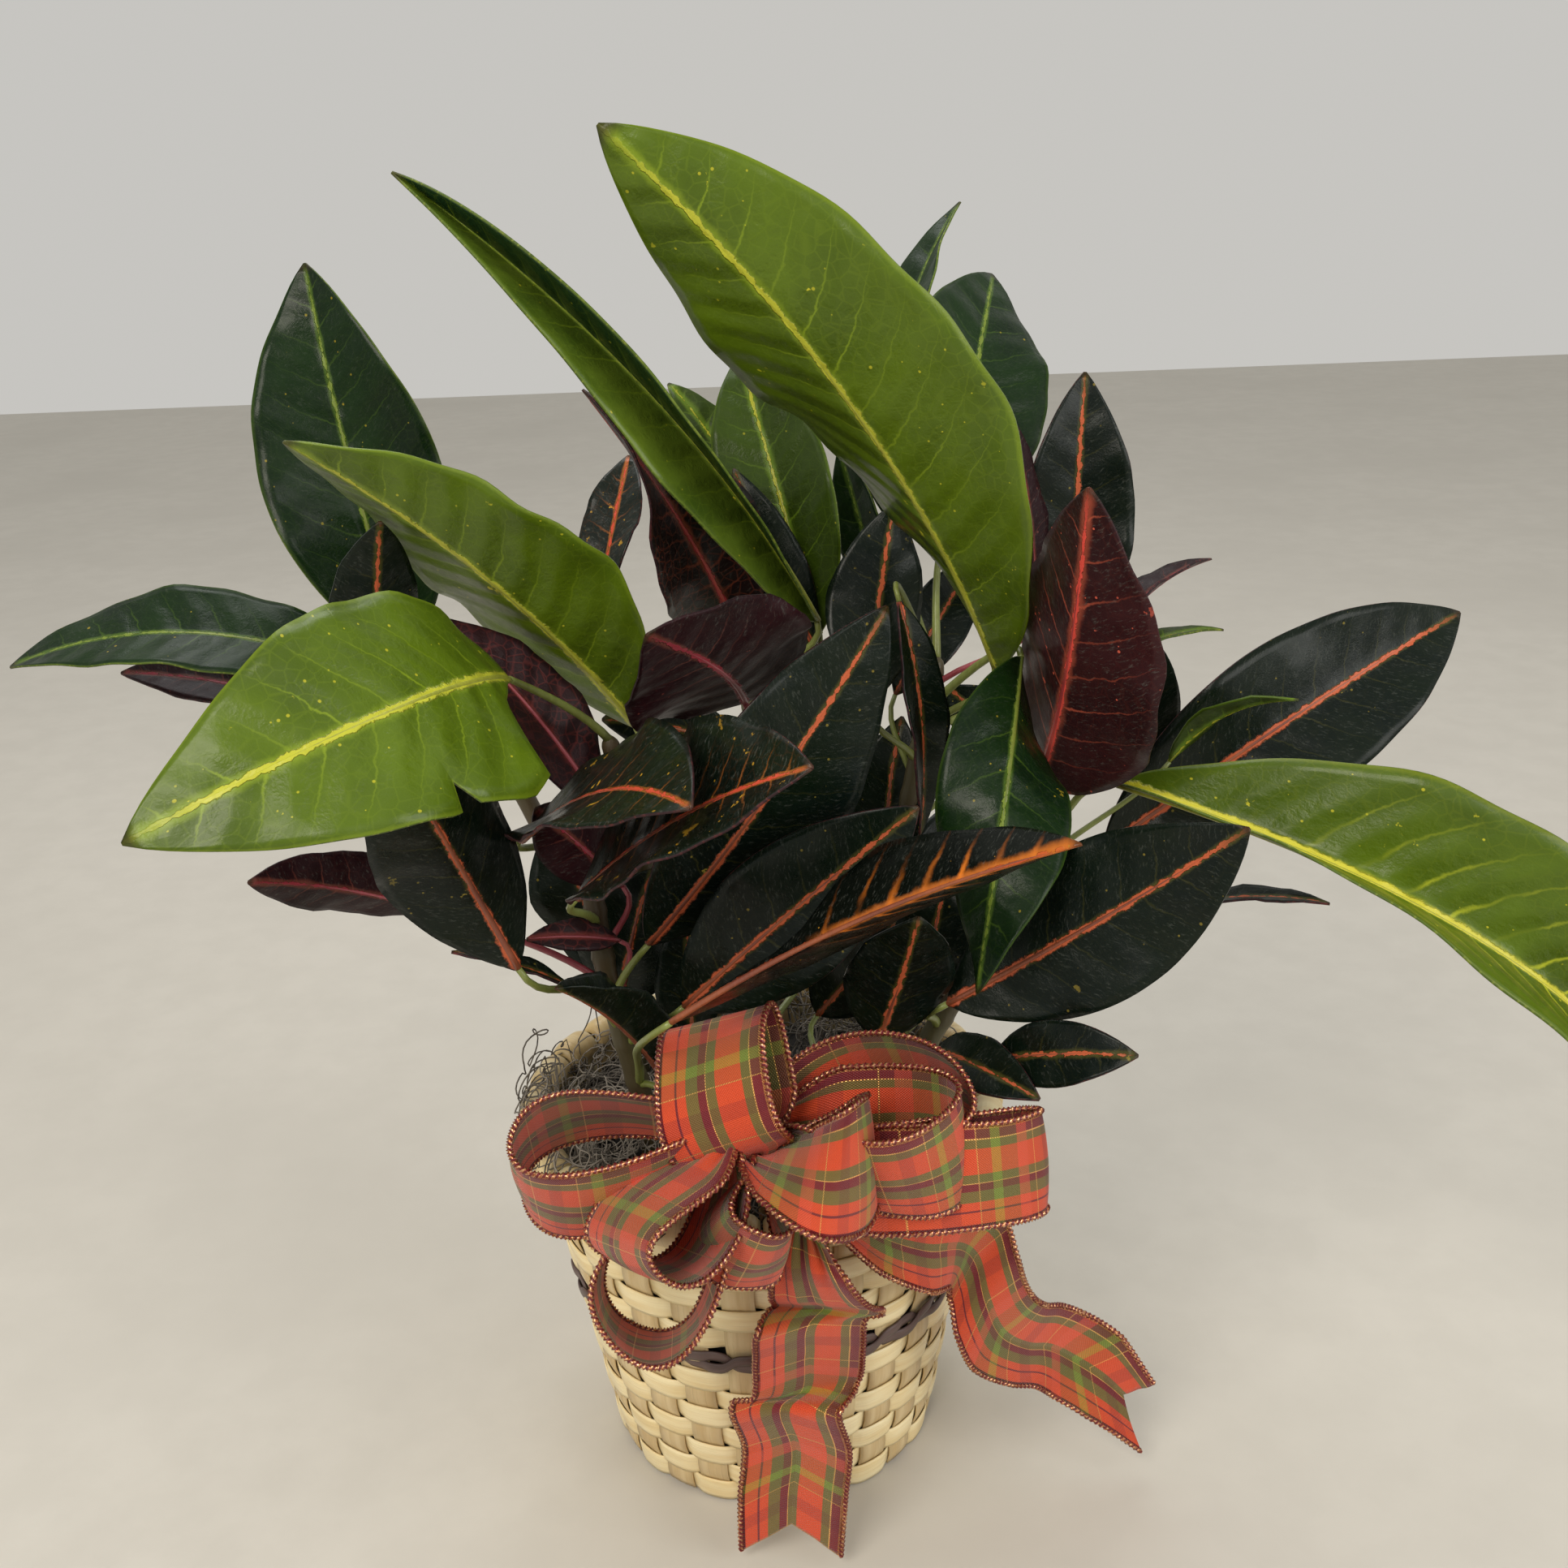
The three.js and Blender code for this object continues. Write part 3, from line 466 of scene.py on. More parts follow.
def edge_wire():
    """The ribbon's edges: copper tinsel overcast in wine thread, so it glints at each stitch; pale
    glints are painted into its colour too.
    """
    made, add = blank("copper tinsel edge")
    x, y = mm_place(add)
    slope = add("Math", [x, 0.35, y], "MULTIPLY_ADD")
    stitch = add("Math", [slope, STITCH], "PINGPONG")
    glint = add("TexNoise", [add("CombineXYZ", [x, y]), 0, 1.1, 2.0])
    much = add("MapRange", [stitch, 0.3, 0.62], **EASED)
    # painted glints: the copper turns pale where the noise is high
    bright = add("MapRange", [glint, 0.45, 0.62])
    copper = layered(add, "#a8623e", (bright, "#f2c091"))
    colour = layered(add, "#6a1c22", (much, copper))
    metal = add("Math", [much, 0.8])
    finish_off(add, colour, 0.3, stitch, 0.3, Metallic=metal)
    return made


# name, then the colours of blade, shade, rib, veins and flecks; then mm between side veins, a
# vein's half width, how strong veins and net are, where blotches begin (less is more of them),
# spill from the rib, the rib's half width and how strong the specks are
SKINS = {
    "bright": leaf_skin(
        "bright green croton skin", "#53690d", "#43570b", "#b3b535", "#7f9420", "#c9c02e", 15, 0.8,
        0.75, 0.12, 0.69, 3, 2.3, 0.55, rim=0.4,
    ),
    "sunny": leaf_skin(
        "bright green croton skin with yellow veins", "#53690d", "#43570b", "#c6c03a", "#adb42a",
        "#c9c02e", 15, 1.6, 1.0, 0.05, 0.69, 3, 2.9, 0.7, rim=0.15, veins_from=0.2, patch_low=0.1,
        reach=0.85,
    ),
    "leafy": leaf_skin(
        "mid green croton skin", "#33460c", "#29390a", "#a3a42f", "#65801f", "#b9b02b", 14, 0.8,
        0.65, 0.1, 0.7, 2.5, 1.4, 0.4, rim=0.3, spec=0.18, coat=0.06,
    ),
    # its second half colour is painted shade on the far half of the folded leaf
    "halved": leaf_skin(
        "mid green croton skin, one half in shade green", "#586c1e", "#3b5014", "#8b982c",
        "#7c9422", "#c6bb2b", 14, 0.8, 0.65, 0.1, 0.69, 2, 1.2, 0.6, shaded_half="#16301a", rim=0.3,
    ),
    "deep": leaf_skin(
        "dark green croton skin", "#142b0d", "#0d1f0d", "#6f8230", "#4c6620", "#b09a28", 14, 0.7,
        0.5, 0.05, 0.71, 1.6, 1.3, 0.5, rough=0.3, bloom_and_sheen=0.12, spec=0.16, coat=0.06, swell=0.7,
        rim=0.3,
    ),
    "night": leaf_skin(
        "near black croton skin", "#0b170c", "#09130f", "#ba5c3a", "#4c4a20", "#8a7a30", 14, 0.7,
        0.35, 0.03, 0.71, 1.8, 2.4, 0.6, rough=0.29, spec=0.17, swell=0.35, coat=0.06, bloom_and_sheen=0.22,
    ),
    "ember": leaf_skin(
        "near black croton skin with orange blotches", "#101a10", "#0c140e", "#cc5038", "#b0662a",
        "#c99a2c", 11, 0.9, 0.5, 0.03, 0.645, 1.3, 1.6, 0.6, rough=0.3, bloom_and_sheen=0.35, reach=0.7,
        spec=0.18, swell=0.35, patch_low=0.1,
    ),
    "wine": leaf_skin(
        "burgundy croton skin", "#341619", "#261013", "#dc5044", "#a8503c", "#d8624c", 15, 0.9,
        0.95, 0.04, 0.69, 3.2, 1.9, 0.8, rough=0.38, spec=0.15, swell=0.3, coat=0.05, bloom_and_sheen=0.35,
    ),
    "maroon": leaf_skin(
        "dark burgundy croton skin", "#250c12", "#19080d", "#8c2f3a", "#6e3a30", "#9a5044", 10, 0.6,
        0.7, 0.06, 0.72, 1.8, 1.7, 0.4, rough=0.4, spec=0.14, swell=0.3, coat=0.04, bloom_and_sheen=0.3,
    ),
    "zigzag": leaf_skin(
        "near black croton skin with orange veins", "#0b110b", "#080d0a", "#c8562e", "#d87828",
        "#b8862a", 12, 2.2, 1.0, 0.0, 0.7, 3, 1.7, 0.8, veins_from=0.36, bloom_and_sheen=0.35, rough=0.27,
        reach=0.8, spec=0.18, swell=0.35, patch_low=0.0,
    ),
    "netted": leaf_skin(
        "dark croton skin with a coral net", "#120f0c", "#1a0b0e", "#9c3436", "#8a442c", "#b4553f",
        12, 1.1, 0.6, 0.3, 0.7, 2.5, 1.5, 0.4, bloom_and_sheen=0.25, spec=0.2, swell=0.4,
    ),
}
UNDER_GREEN = leaf_underside("green croton underside", "#55691f", "#445619", "#99a23e")
UNDER_PURPLE = leaf_underside("purple croton underside", "#2e171c", "#241216", "#7c3430")
GREEN_STALK = stalk_skin("pale green petiole", "#86924a", "#77803c")
GOLD_RIB = stalk_skin("yellow midrib", "#a9ab3a", "#949a35")
DULL_RIB = stalk_skin("dull green midrib", "#7d8a34", "#66762c")
ORANGE_RIB = stalk_skin("orange midrib", "#9c5534", "#7c4030")
RED_RIB = stalk_skin("red midrib", "#c24a42", "#963436")
CRIMSON_STALK = stalk_skin("crimson petiole", "#8a3440", "#a8505a")
BARK = stalk_skin("young brown croton bark", "#43361f", "#4d4a2b", rough=0.6)
STRAW = bamboo_strip("natural split bamboo", "#f8e8ba", "#ecd59e", "#a88a5c", 0.24)
STAKE = bamboo_strip("greyer split bamboo stake", "#dcc698", "#cbb07e", "#96794f", 0.38)
SMOKED = bamboo_strip("dark dyed bamboo", "#6a5550", "#54413d", "#2e211f", 0.45)
ROLLED = bamboo_strip("rolled bamboo rim", "#e4d3a4", "#d3b880", "#86643f", 0.28)
PLAID = plaid_ribbon()
COPPER = edge_wire()
MOSS = speckled("dry grey spanish moss", "#6e675d", "#352f2a", "#a89f92", 190, 0.85, 0.1)
# the bed's near black colours are painted shade, the shade deep under the strands
MOSS_SHADE = speckled("matted moss bed", "#1f1b18", "#120f0d", "#332e29", 700, 0.95, 1.8)


# ---- stems


STEMS = {
    "front_left": [
        [-34, -16, 64], [-42, -25, 150], [-50, -31, 200], [-54, -28, 240], [-56, -24, 262],
    ],
    "left": [[-16, 10, 64], [-28, 8, 160], [-40, 4, 240], [-47, -4, 284]],
    "back_left": [[-36, 32, 64], [-62, 40, 180], [-90, 45, 255], [-103, 44, 284]],
    "middle": [[0, 20, 64], [4, 25, 180], [2, 31, 260], [3, 34, 298]],
    "back_right": [[32, 16, 64], [47, 19, 180], [62, 24, 260], [70, 27, 298]],
    "right": [[40, -14, 64], [57, -22, 160], [84, -16, 205], [107, -4, 240]],
    "front_right": [[12, -28, 64], [22, -36, 140], [30, -42, 168]],
}
STEM_RADIUS, STEM_TAPER = 4.3, 0.22
SCAR_PITCH, SCAR_SWELL = 17, 0.55
ROUNDED_FROM = 0.93  # of its length


def seat_on(stem, height):
    """Where a petiole meets its stem, at that height."""
    line = smooth_route(STEMS[stem], np.linspace(0, 1, 400))
    return line[np.abs(line[:, 2] - height).argmin()]


def stem_rod(name):
    """A stem, with a slight swelling at each old leaf scar and a rounded top."""
    t = np.linspace(0, 1, 90)
    line = smooth_route(STEMS[name], t)
    scars = np.exp(-(((line[:, 2] % SCAR_PITCH) - SCAR_PITCH / 2) ** 2) / 3.0)
    radii = STEM_RADIUS * (1 - STEM_TAPER * t) + SCAR_SWELL * scars
    top = np.maximum(t - ROUNDED_FROM, 0) / (1 - ROUNDED_FROM)
    radii *= np.sqrt(np.clip(1 - top**2, 0.03, 1))
    return wear(rod("stalk", line, radii, sides=12), BARK)


# ---- leaves


def leaf_rows(table):
    """Rows of words and whole numbers; the three numbers after the seat height are the foot."""
    for line in table.split("\n")[1:-1]:
        row = [int(word) if word.strip("-").isdigit() else word for word in line.split()]
        x = [isinstance(word, int) for word in row].index(True) + 1
        yield [*row[:x], row[x : x + 3], *row[x + 3 :]]


# name, stem, seat height, foot, heading, rise, length, width, arch, sweep, roll, fold, twist,
# skin, side that is the upper one (1 out of the fold's hollow, -1 its back, 0 both alike)
LEAVES = leaf_rows("""
green_far_right right 229 126 -20 265 -5 -35 236 85 61 -9 48 49 27 sunny 1
green_top back_right 282 87 3 300 -156 54 221 88 1 17 25 17 32 bright -1
green_folded middle 290 27 26 313 192 50 202 58 15 -15 -103 71 17 halved 1
green_mid_left left 278 -39 17 279 211 46 159 72 3 8 32 17 -8 bright -1
green_back_left back_left 280 -130 72 293 146 79 147 69 7 2 -45 21 -28 deep 1
green_front_left left 282 -73 -39 316 -126 -2 142 71 34 7 -46 3 -1 bright 1
green_far_left back_left 283 -130 31 296 -178 5 131 42 18 -2 -27 9 3 deep 1
green_back_tip back_right 291 57 72 338 59 61 126 38 11 3 -28 17 -5 deep 1
green_hanging back_right 295 94 -11 308 -107 -46 117 45 -13 0 167 14 70 deep -1
green_back_right back_right 294 73 45 336 70 47 117 59 14 4 34 5 15 deep 1
green_back_middle middle 265 28 38 305 119 61 108 47 10 -2 -41 23 5 leafy 1
green_behind_a back_right 264 53 68 306 130 69 62 22 1 -1 -71 19 -5 deep 1
green_behind_b middle 296 5 69 339 144 54 62 22 5 -1 -23 17 -6 leafy 1
green_small_right right 226 148 -1 265 -34 34 52 16 6 -1 -25 19 7 leafy -1
dark_right_back right 219 128 8 229 16 27 159 60 16 3 61 21 -5 night 1
dark_zigzag front_left 158 -24 -102 225 -23 31 144 45 7 -3 -83 58 4 zigzag -1
dark_middle front_left 253 -34 -48 225 8 53 137 55 9 1 100 6 -8 night 1
dark_front_upper front_left 226 -53 -72 254 -45 33 124 59 4 4 38 18 7 ember 1
dark_right_front right 232 64 -60 205 -20 38 117 51 5 1 -109 1 9 night -1
dark_net middle 291 -2 44 305 226 56 115 51 8 1 -87 20 59 netted 1
dark_front_speckled left 278 -71 -59 269 -55 22 112 51 6 8 26 13 5 ember 1
dark_left_front front_left 236 -74 -70 229 -113 61 102 49 9 2 60 24 7 night -1
dark_front_lower front_left 235 -23 -57 206 -9 43 107 45 3 1 80 10 0 night 1
dark_right_top back_right 274 119 38 297 60 85 97 42 3 1 30 17 5 night 1
dark_twisted back_right 291 53 -15 330 -49 -84 81 22 4 1 -7 21 -11 night 1
dark_left_tip back_left 278 -123 -2 292 -62 71 77 33 5 0 3 17 -1 night -1
dark_centre_tip back_right 277 44 6 289 64 69 69 37 3 0 -138 13 -5 night -1
dark_curled front_left 229 -32 -52 176 -133 51 67 34 4 0 0 50 0 night 0
dark_behind_a back_right 271 55 37 281 49 38 65 25 5 0 36 13 0 night 1
dark_low_middle front_right 164 41 -60 192 -58 67 59 36 1 1 -30 8 -1 night -1
dark_behind_b middle 288 -51 41 320 73 50 59 25 2 -1 -10 16 15 ember 1
dark_right_shadow right 237 146 24 247 -100 85 57 23 4 0 0 15 1 night -1
dark_low_right right 210 78 -68 188 -35 18 53 22 3 1 60 12 -4 night 1
dark_low_stalked front_right 161 61 -53 184 -54 4 49 21 4 0 38 23 1 night 1
burgundy_right right 232 102 -1 259 -88 60 135 71 -4 8 -60 16 1 wine -1
burgundy_middle middle 280 1 -14 297 -111 31 85 65 -2 5 39 0 10 maroon -1
burgundy_left_under front_left 261 -51 -10 260 171 53 84 38 5 0 -22 14 6 maroon -1
burgundy_low_left front_left 251 -105 -31 231 -144 26 70 27 5 0 68 18 14 maroon -1
burgundy_inner front_left 256 -42 -38 242 -140 50 48 26 4 1 84 14 -7 maroon -1
""")
SMALL_LEAVES = leaf_rows("""
right 235 124 26 285 17 15 56 12 6 1 -1 18 2 leafy 1
middle 281 26 34 300 149 64 71 21 3 0 -55 10 8 night 1
right 216 151 -13 215 -10 3 51 13 3 0 0 15 5 night 1
front_left 224 -62 -45 209 -173 24 41 12 2 0 0 15 0 night 1
back_left 276 -157 49 281 -181 12 76 27 4 0 -30 14 0 maroon 1
back_right 290 102 13 316 165 82 70 20 3 1 -12 14 2 maroon 1
right 236 126 22 294 33 28 63 22 7 0 -17 21 5 maroon 1
front_left 247 -45 -36 221 -161 12 32 13 2 0 -34 14 1 maroon -1
""")
# stem, seat height, foot, heading, rise, length, width, roll of the leaves that fill the dark
# inside of the plant, where the photograph shows leaf and no floor
INNER_PLACES = leaf_rows("""
middle 204 50 24 216 53 78 59 30 18
back_right 251 103 38 263 -165 37 38 27 -102
front_left 173 -48 -14 185 26 73 52 38 53
front_left 193 -53 -4 205 157 72 50 36 -67
left 183 -19 -6 195 15 36 58 36 48
front_right 172 64 -8 184 47 77 40 30 23
middle 150 20 48 168 80 62 62 36 40
back_right 160 66 42 176 60 55 60 34 30
left 160 -46 26 172 150 58 60 34 -50
front_right 158 22 -2 171 16 46 46 32 75
left 165 -22 -26 174 90 82 52 24 0
middle 250 -4 27 266 176 14 50 28 85
""")
INNER_LEAVES = [(*row[:7], 4, 1, row[7], 12, 4, "night", 0) for row in INNER_PLACES]
BLADE_THICK, NARROWEST = 0.75, 0.5
WIDEST_AT, FULLNESS = 0.92, 0.8  # powers: less than 1 moves the widest place to the foot
LOWEST_SEAT = 158  # no petiole leaves its stem below this height, in the moss
BLADE_ROW, BLADE_WIDE = 3.4, 58  # mm from row to row, and the width whose midrib is full size
RIPPLE, RIPPLE_MOST, RIPPLES = 0.035, 2.2, 2.5  # share of the width, mm, waves to a blade
FRILL, FRILLS = 0.012, 6.5  # the finer one at the margin
CREASE = 0.063  # how round the fold is, as a share of the half width
PETIOLE_FOOT, PETIOLE_END, PETIOLE_BEND = 1.65, 1.1, 0.34
PETIOLE_DROP, RIB_LEAST, RIB_ENDS = 30, 0.28, 0.965
PINK_STALKED = ("wine", "maroon")
DARK_BACKED = ("night", "ember", "wine", "maroon", "zigzag", "netted")
RIB_OF = {
    "bright": GOLD_RIB, "sunny": GOLD_RIB, "leafy": GOLD_RIB, "halved": GOLD_RIB,
    "deep": DULL_RIB, "night": ORANGE_RIB, "ember": ORANGE_RIB, "zigzag": ORANGE_RIB,
    "wine": RED_RIB, "netted": RED_RIB, "maroon": CRIMSON_STALK,
}
# leaves with one uneven side: which side, places along it and its width there. One is cut square
# across its base and nicked where it was torn, the other is rolled shut near its foot.
UNEVEN = {
    "green_front_left": (
        1, [0, 0.1, 0.2, 0.28, 0.31, 0.36, 0.44, 0.476, 0.5, 0.524, 0.54],
        [0, 0.1, 0.27, 0.66, 1.05, 1.13, 1.03, 0.97, 0.72, 0.98, 1.0],
    ),
    "dark_zigzag": (
        -1, [0, 0.15, 0.28, 0.36, 0.45, 0.55, 0.6], [0, 0.07, 0.12, 0.3, 0.74, 0.94, 0.94],
    ),
}


def blade_at(foot, way, length, width, arch, sweep, fold, twist, u, t, uneven=None):
    """Points on a blade, with the way along it, the way out of it and its half width."""
    chord, across, face = way
    u, t = (np.asarray(a, float)[:, None] for a in (u, t))
    along = unit(length * chord + 4 * (1 - 2 * t) * (arch * face + sweep * across))
    turn = np.radians(twist) * (2 * t - 1)
    side = np.cos(turn) * across + np.sin(turn) * face
    side = unit(side - dots(side, along) * along)
    out = np.cross(along, side)
    outline = np.clip(np.sin(np.pi * np.clip(t, 0, 1) ** WIDEST_AT), 0, 1) ** FULLNESS
    if uneven:
        which, places, widths = uneven
        cut = (u * which > 0) & (t < places[-1])
        outline = np.where(cut, np.interp(t, places, widths), outline)
    half = np.maximum(width / 2 * outline, NARROWEST)
    lean = math.radians(fold)
    wave, frill = np.sin(TURN * RIPPLES * t + length), np.sin(TURN * FRILLS * t + 2 * length + u)
    ripple = min(RIPPLE_MOST, RIPPLE * width) * outline * wave * u**2
    ripple = ripple + FRILL * width * outline * frill * np.abs(u) ** 3
    lifted = np.sqrt(u**2 + 0.004) - CREASE
    where = (
        np.array(foot, float)
        + t * length * chord
        + 4 * t * (1 - t) * (arch * face + sweep * across)
        + u * half * math.cos(lean) * side
        + (lifted * half * math.sin(lean) + ripple) * out
    )
    return where, along, out, half


def leaf(
    stem, seat, foot, heading, rise, length, width, arch, sweep, roll, fold, twist, skin, top,
    across=14, uneven=None,
):
    """One leaf: its blade, and the stalk that runs from the stem up the back of the blade."""
    shape = (foot, chord_frame(heading, rise, roll), length, width, arch, sweep, fold, twist)
    seed = (abs(heading) * 7 + length * 3 + width) % 101 / 101
    rib_size = min(1.1, width / BLADE_WIDE)

    def place(u, t):
        where, _, _, half = blade_at(*shape, u, t, uneven)
        mm = np.stack([u * half[:, 0], t * length], 1)
        rest = [np.full(len(u), v) for v in (seed, rib_size)]
        return where, mm, np.stack([t, np.abs(u), *rest], 1)

    blade = shaped_grid("blade", across, max(16, round(length / BLADE_ROW)), place)
    face = SKINS[skin]
    back = UNDER_PURPLE if skin in DARK_BACKED else UNDER_GREEN
    back = back if top else face
    wear(blade, *((back, face) if top > 0 else (face, back)))
    thicken(blade, BLADE_THICK, under=1)
    # the stalk leaves its stem upwards and meets the blade in the blade's own direction
    along = blade_at(*shape, [0.0], [0.0])[1][0]
    foot = np.array(foot, float)
    seat = seat_on(stem, min(seat, max(foot[2] - PETIOLE_DROP, LOWEST_SEAT)))
    reach = np.linalg.norm(foot - seat)
    outward = unit(unit(foot - seat) + np.array([0, 0, 0.4]))
    bend = PETIOLE_BEND * reach
    near, far = seat + outward * bend, foot - along * min(bend, 22)
    s = np.linspace(0, 1, max(8, int(reach / 5)))[:, None]
    petiole = (1 - s) ** 3 * seat + 3 * (1 - s) ** 2 * s * near
    petiole = petiole + 3 * (1 - s) * s**2 * far + s**3 * foot
    stalk_radii = np.linspace(PETIOLE_FOOT, PETIOLE_END, len(petiole))
    stalk = rod("petiole", petiole, stalk_radii * (0.55 + 0.45 * min(1, width / 45)))
    wear(stalk, CRIMSON_STALK if skin in PINK_STALKED else GREEN_STALK)
    t = np.linspace(0, RIB_ENDS, max(14, int(length / 5)))
    spine, _, lift, _ = blade_at(*shape, np.zeros_like(t), t)
    rib_radii = min(1.25, 0.35 + width / 60) * (1 - t) ** 0.8 + RIB_LEAST
    rib = spine - top * lift * (rib_radii * 0.35)[:, None]
    ridge = wear(rod("midrib", rib, rib_radii, flat=0.8), RIB_OF[skin])
    return [blade, stalk, ridge]


for name, *row in LEAVES:
    piece = joined("leaf_" + name + "_dressed", leaf(*row, uneven=UNEVEN.get(name)))
    finished(piece, "leaf_" + name.split("_")[0], "leaf_" + name)

INSIDE = [*SMALL_LEAVES, *INNER_LEAVES]
for name in STEMS:
    parts = [stem_rod(name)]
    for row in INSIDE:
        if row[0] == name:
            parts += leaf(*row, across=8)
    finished(joined("stem_" + name + "_dressed", parts), "stem", "stem_" + name)


# ---- basket

STAKES, BASE_RADIUS, FLARE = 26, 61.4, 0.168
ROW_HEIGHT, ROWS_BELOW, ROWS_ABOVE, BAND_HEIGHT = 9.7, 7, 5, 12.0
BAND_LOW = ROWS_BELOW * ROW_HEIGHT
WEAVE_OVER, WEAVE_STAKE = 1.2, 0.72  # how far strips and stakes swing in and out
STRIP_THICK, DARK_THICK, SCALLOP_THICK = 0.6, 0.8, 1.0
ROUND_WALL, ROUND_BAND = TURN * 75, TURN * 76  # mm round the basket, for the grain
STAKE_HALF, DARK_HALF, SCALLOP_HALF = 5.8, 2.15, 9.4
RIM_RADIUS, RIM_HEIGHT, RIM_TUBE = 83.8, 134.0, 6.4
ROLL_FROM, ROLL_BY = math.radians(-75), math.radians(330)  # how a stake's end is rolled
CORE_RADIUS = 3.4
BAND_SWING, BAND_OUT, BAND_CROSS = 2.45, 1.15, 0.72  # up and down, off the wall, past each other


def wall_radius(z):
    return BASE_RADIUS + FLARE * z


def round_the_wall(angle, radius, z):
    return np.stack([radius * np.cos(angle), radius * np.sin(angle), z], 1)


def on_wall(angle, radius, z, across, along, seed, shade_share):
    """Points round the wall, their mm on the strip, its own seed and how much painted shade it
    takes where it lies hidden.
    """
    marks = np.stack([np.full(len(z), seed), np.broadcast_to(shade_share, len(z))], 1)
    return round_the_wall(angle, radius, z), np.stack([across, along], 1), marks


def weaver(row, low):
    """A flat strip that goes over one stake and behind the next."""
    half = (ROW_HEIGHT - 0.15) / 2
    seed = dice.random()
    drift = dice.random() * 6

    def place(u, t):
        angle = TURN * t
        swing = np.cos(STAKES / 2 * angle + math.pi * row)
        over = np.tanh(1.7 * swing) / math.tanh(1.7)
        # the strip cups a little over each stake and tips at the crossings
        cup, tip = 0.97 + 0.03 * swing, 0.25 * np.sin(3 * angle + drift)
        z = low + ROW_HEIGHT / 2 + u * half * cup + tip
        radius = wall_radius(z) + WEAVE_OVER * over + 0.25 * (1 - u**2)
        # painted shade where the strip passes behind a stake, and at its top and bottom edges where
        # the rows meet
        shade_share = np.clip(-over * 0.28 + 0.1 * np.abs(u) ** 6, 0, 1)
        return on_wall(angle, radius, z, u * half, t * ROUND_WALL, seed, shade_share)

    strip = shaped_grid(f"weaver_{row}", 6, STAKES * 14, place, close=True)
    return thicken(wear(strip, STRAW), STRIP_THICK)


rows = [i * ROW_HEIGHT for i in range(ROWS_BELOW)]
rows += [BAND_LOW + BAND_HEIGHT + i * ROW_HEIGHT for i in range(ROWS_ABOVE)]
weavers = [weaver(i + (i >= ROWS_BELOW), low + 0.3) for i, low in enumerate(rows)]


def stake(k):
    """An upright strip that runs between the weavers up to the rim."""
    middle = TURN * k / STAKES
    seed = dice.random()

    def place(u, t):
        along = t * (RIM_HEIGHT - 4)
        z = 1.0 + along
        above = (z - BAND_HEIGHT) / ROW_HEIGHT + 1
        row = np.where(z < BAND_LOW + BAND_HEIGHT / 2, z / ROW_HEIGHT, above)
        sway = np.cos(math.pi * (row - 0.5 + k)) * -1
        radius = wall_radius(z) + WEAVE_STAKE * sway + 0.15 * (1 - u**2)
        angle = middle + u * STAKE_HALF / radius
        return on_wall(angle, radius, z, u * STAKE_HALF, along, seed, 0.12)

    return thicken(wear(shaped_grid(f"stake_{k}", 3, 60, place), STAKE), STRIP_THICK)


stakes = [stake(k) for k in range(STAKES)]
finished(joined("basket_weave", weavers + stakes), "basket_straw", "basket_wall")


def band_strip(sign, letter, name):
    """One of two dark strips that cross each other between the stakes."""

    def place(u, t):
        angle = TURN * t
        turn = STAKES / 2 * angle + math.pi / 4
        middle = BAND_LOW + BAND_HEIGHT / 2 + sign * BAND_SWING * np.tanh(2.4 * np.sin(turn))
        z = middle + u * DARK_HALF
        radius = wall_radius(z) + BAND_OUT + sign * BAND_CROSS * np.tanh(3 * np.cos(turn))
        radius = radius + 0.35 * (1 - u**2)
        # painted shade towards the strip's edges
        seed, shade_share = 0.3 + 0.2 * sign, np.abs(u) * 0.3
        return on_wall(angle, radius, z, u * 2.1, t * ROUND_BAND, seed, shade_share)

    strip = shaped_grid(name, 4, STAKES * 16, place, close=True)
    thicken(wear(strip, SMOKED), DARK_THICK)
    finished(strip, "basket_brown", "basket_dark_strip_" + letter)


band_strip(1, "a", "dark_strip_over")
band_strip(-1, "b", "dark_strip_under")


def scallop():
    """A stake's end, rolled outwards over itself into a scallop."""

    def place(u, t):
        turn = ROLL_FROM + t * ROLL_BY
        full = np.sqrt(np.clip(1 - (0.93 * u) ** 4, 0, 1))
        reel = RIM_TUBE * (1 - 0.22 * t) * (0.55 + 0.45 * full)
        z = RIM_HEIGHT + 3.2 * full - 1.5 + reel * 1.12 * np.sin(turn)
        radius = RIM_RADIUS + reel * np.cos(turn) + 0.5
        angle = u * SCALLOP_HALF / (RIM_RADIUS + 0.8)
        # painted shade deeper inside the roll
        shade_share = np.clip(t * 1.1 - 0.35, 0, 0.8)
        return on_wall(angle, radius, z, u * 8, turn * 7, 0.5, shade_share)

    return thicken(wear(shaped_grid("scallop", 10, 22, place), ROLLED), SCALLOP_THICK)


first_scallop = scallop()
scallops = [first_scallop]
for k in range(1, STAKES):
    twin = first_scallop.copy()
    twin.data = first_scallop.data.copy()
    bpy.context.collection.objects.link(twin)
    twin.data.transform(Matrix.Rotation(TURN * k / STAKES, 4, "Z"))
    mark = np.zeros(len(twin.data.vertices) * 4, np.float32)
    twin.data.attributes["marks"].data.foreach_get("color", mark)
    mark[0::4] = dice.random()
    twin.data.attributes["marks"].data.foreach_set("color", mark)
    scallops.append(twin)


def rim_core():
    """The bent stake that the scallops roll over, which closes the top of the wall."""
    angle = np.linspace(0, TURN, 6 * STAKES + 1)
    nod = RIM_HEIGHT - 3 + 0.8 * np.cos(STAKES * angle)
    line = round_the_wall(angle, np.full(len(angle), RIM_RADIUS), nod)
    return wear(rod("core", line, np.full(len(angle), CORE_RADIUS)), ROLLED)


finished(joined("rolled_rim", scallops + [rim_core()]), "basket_straw", "basket_rim")


# ---- moss

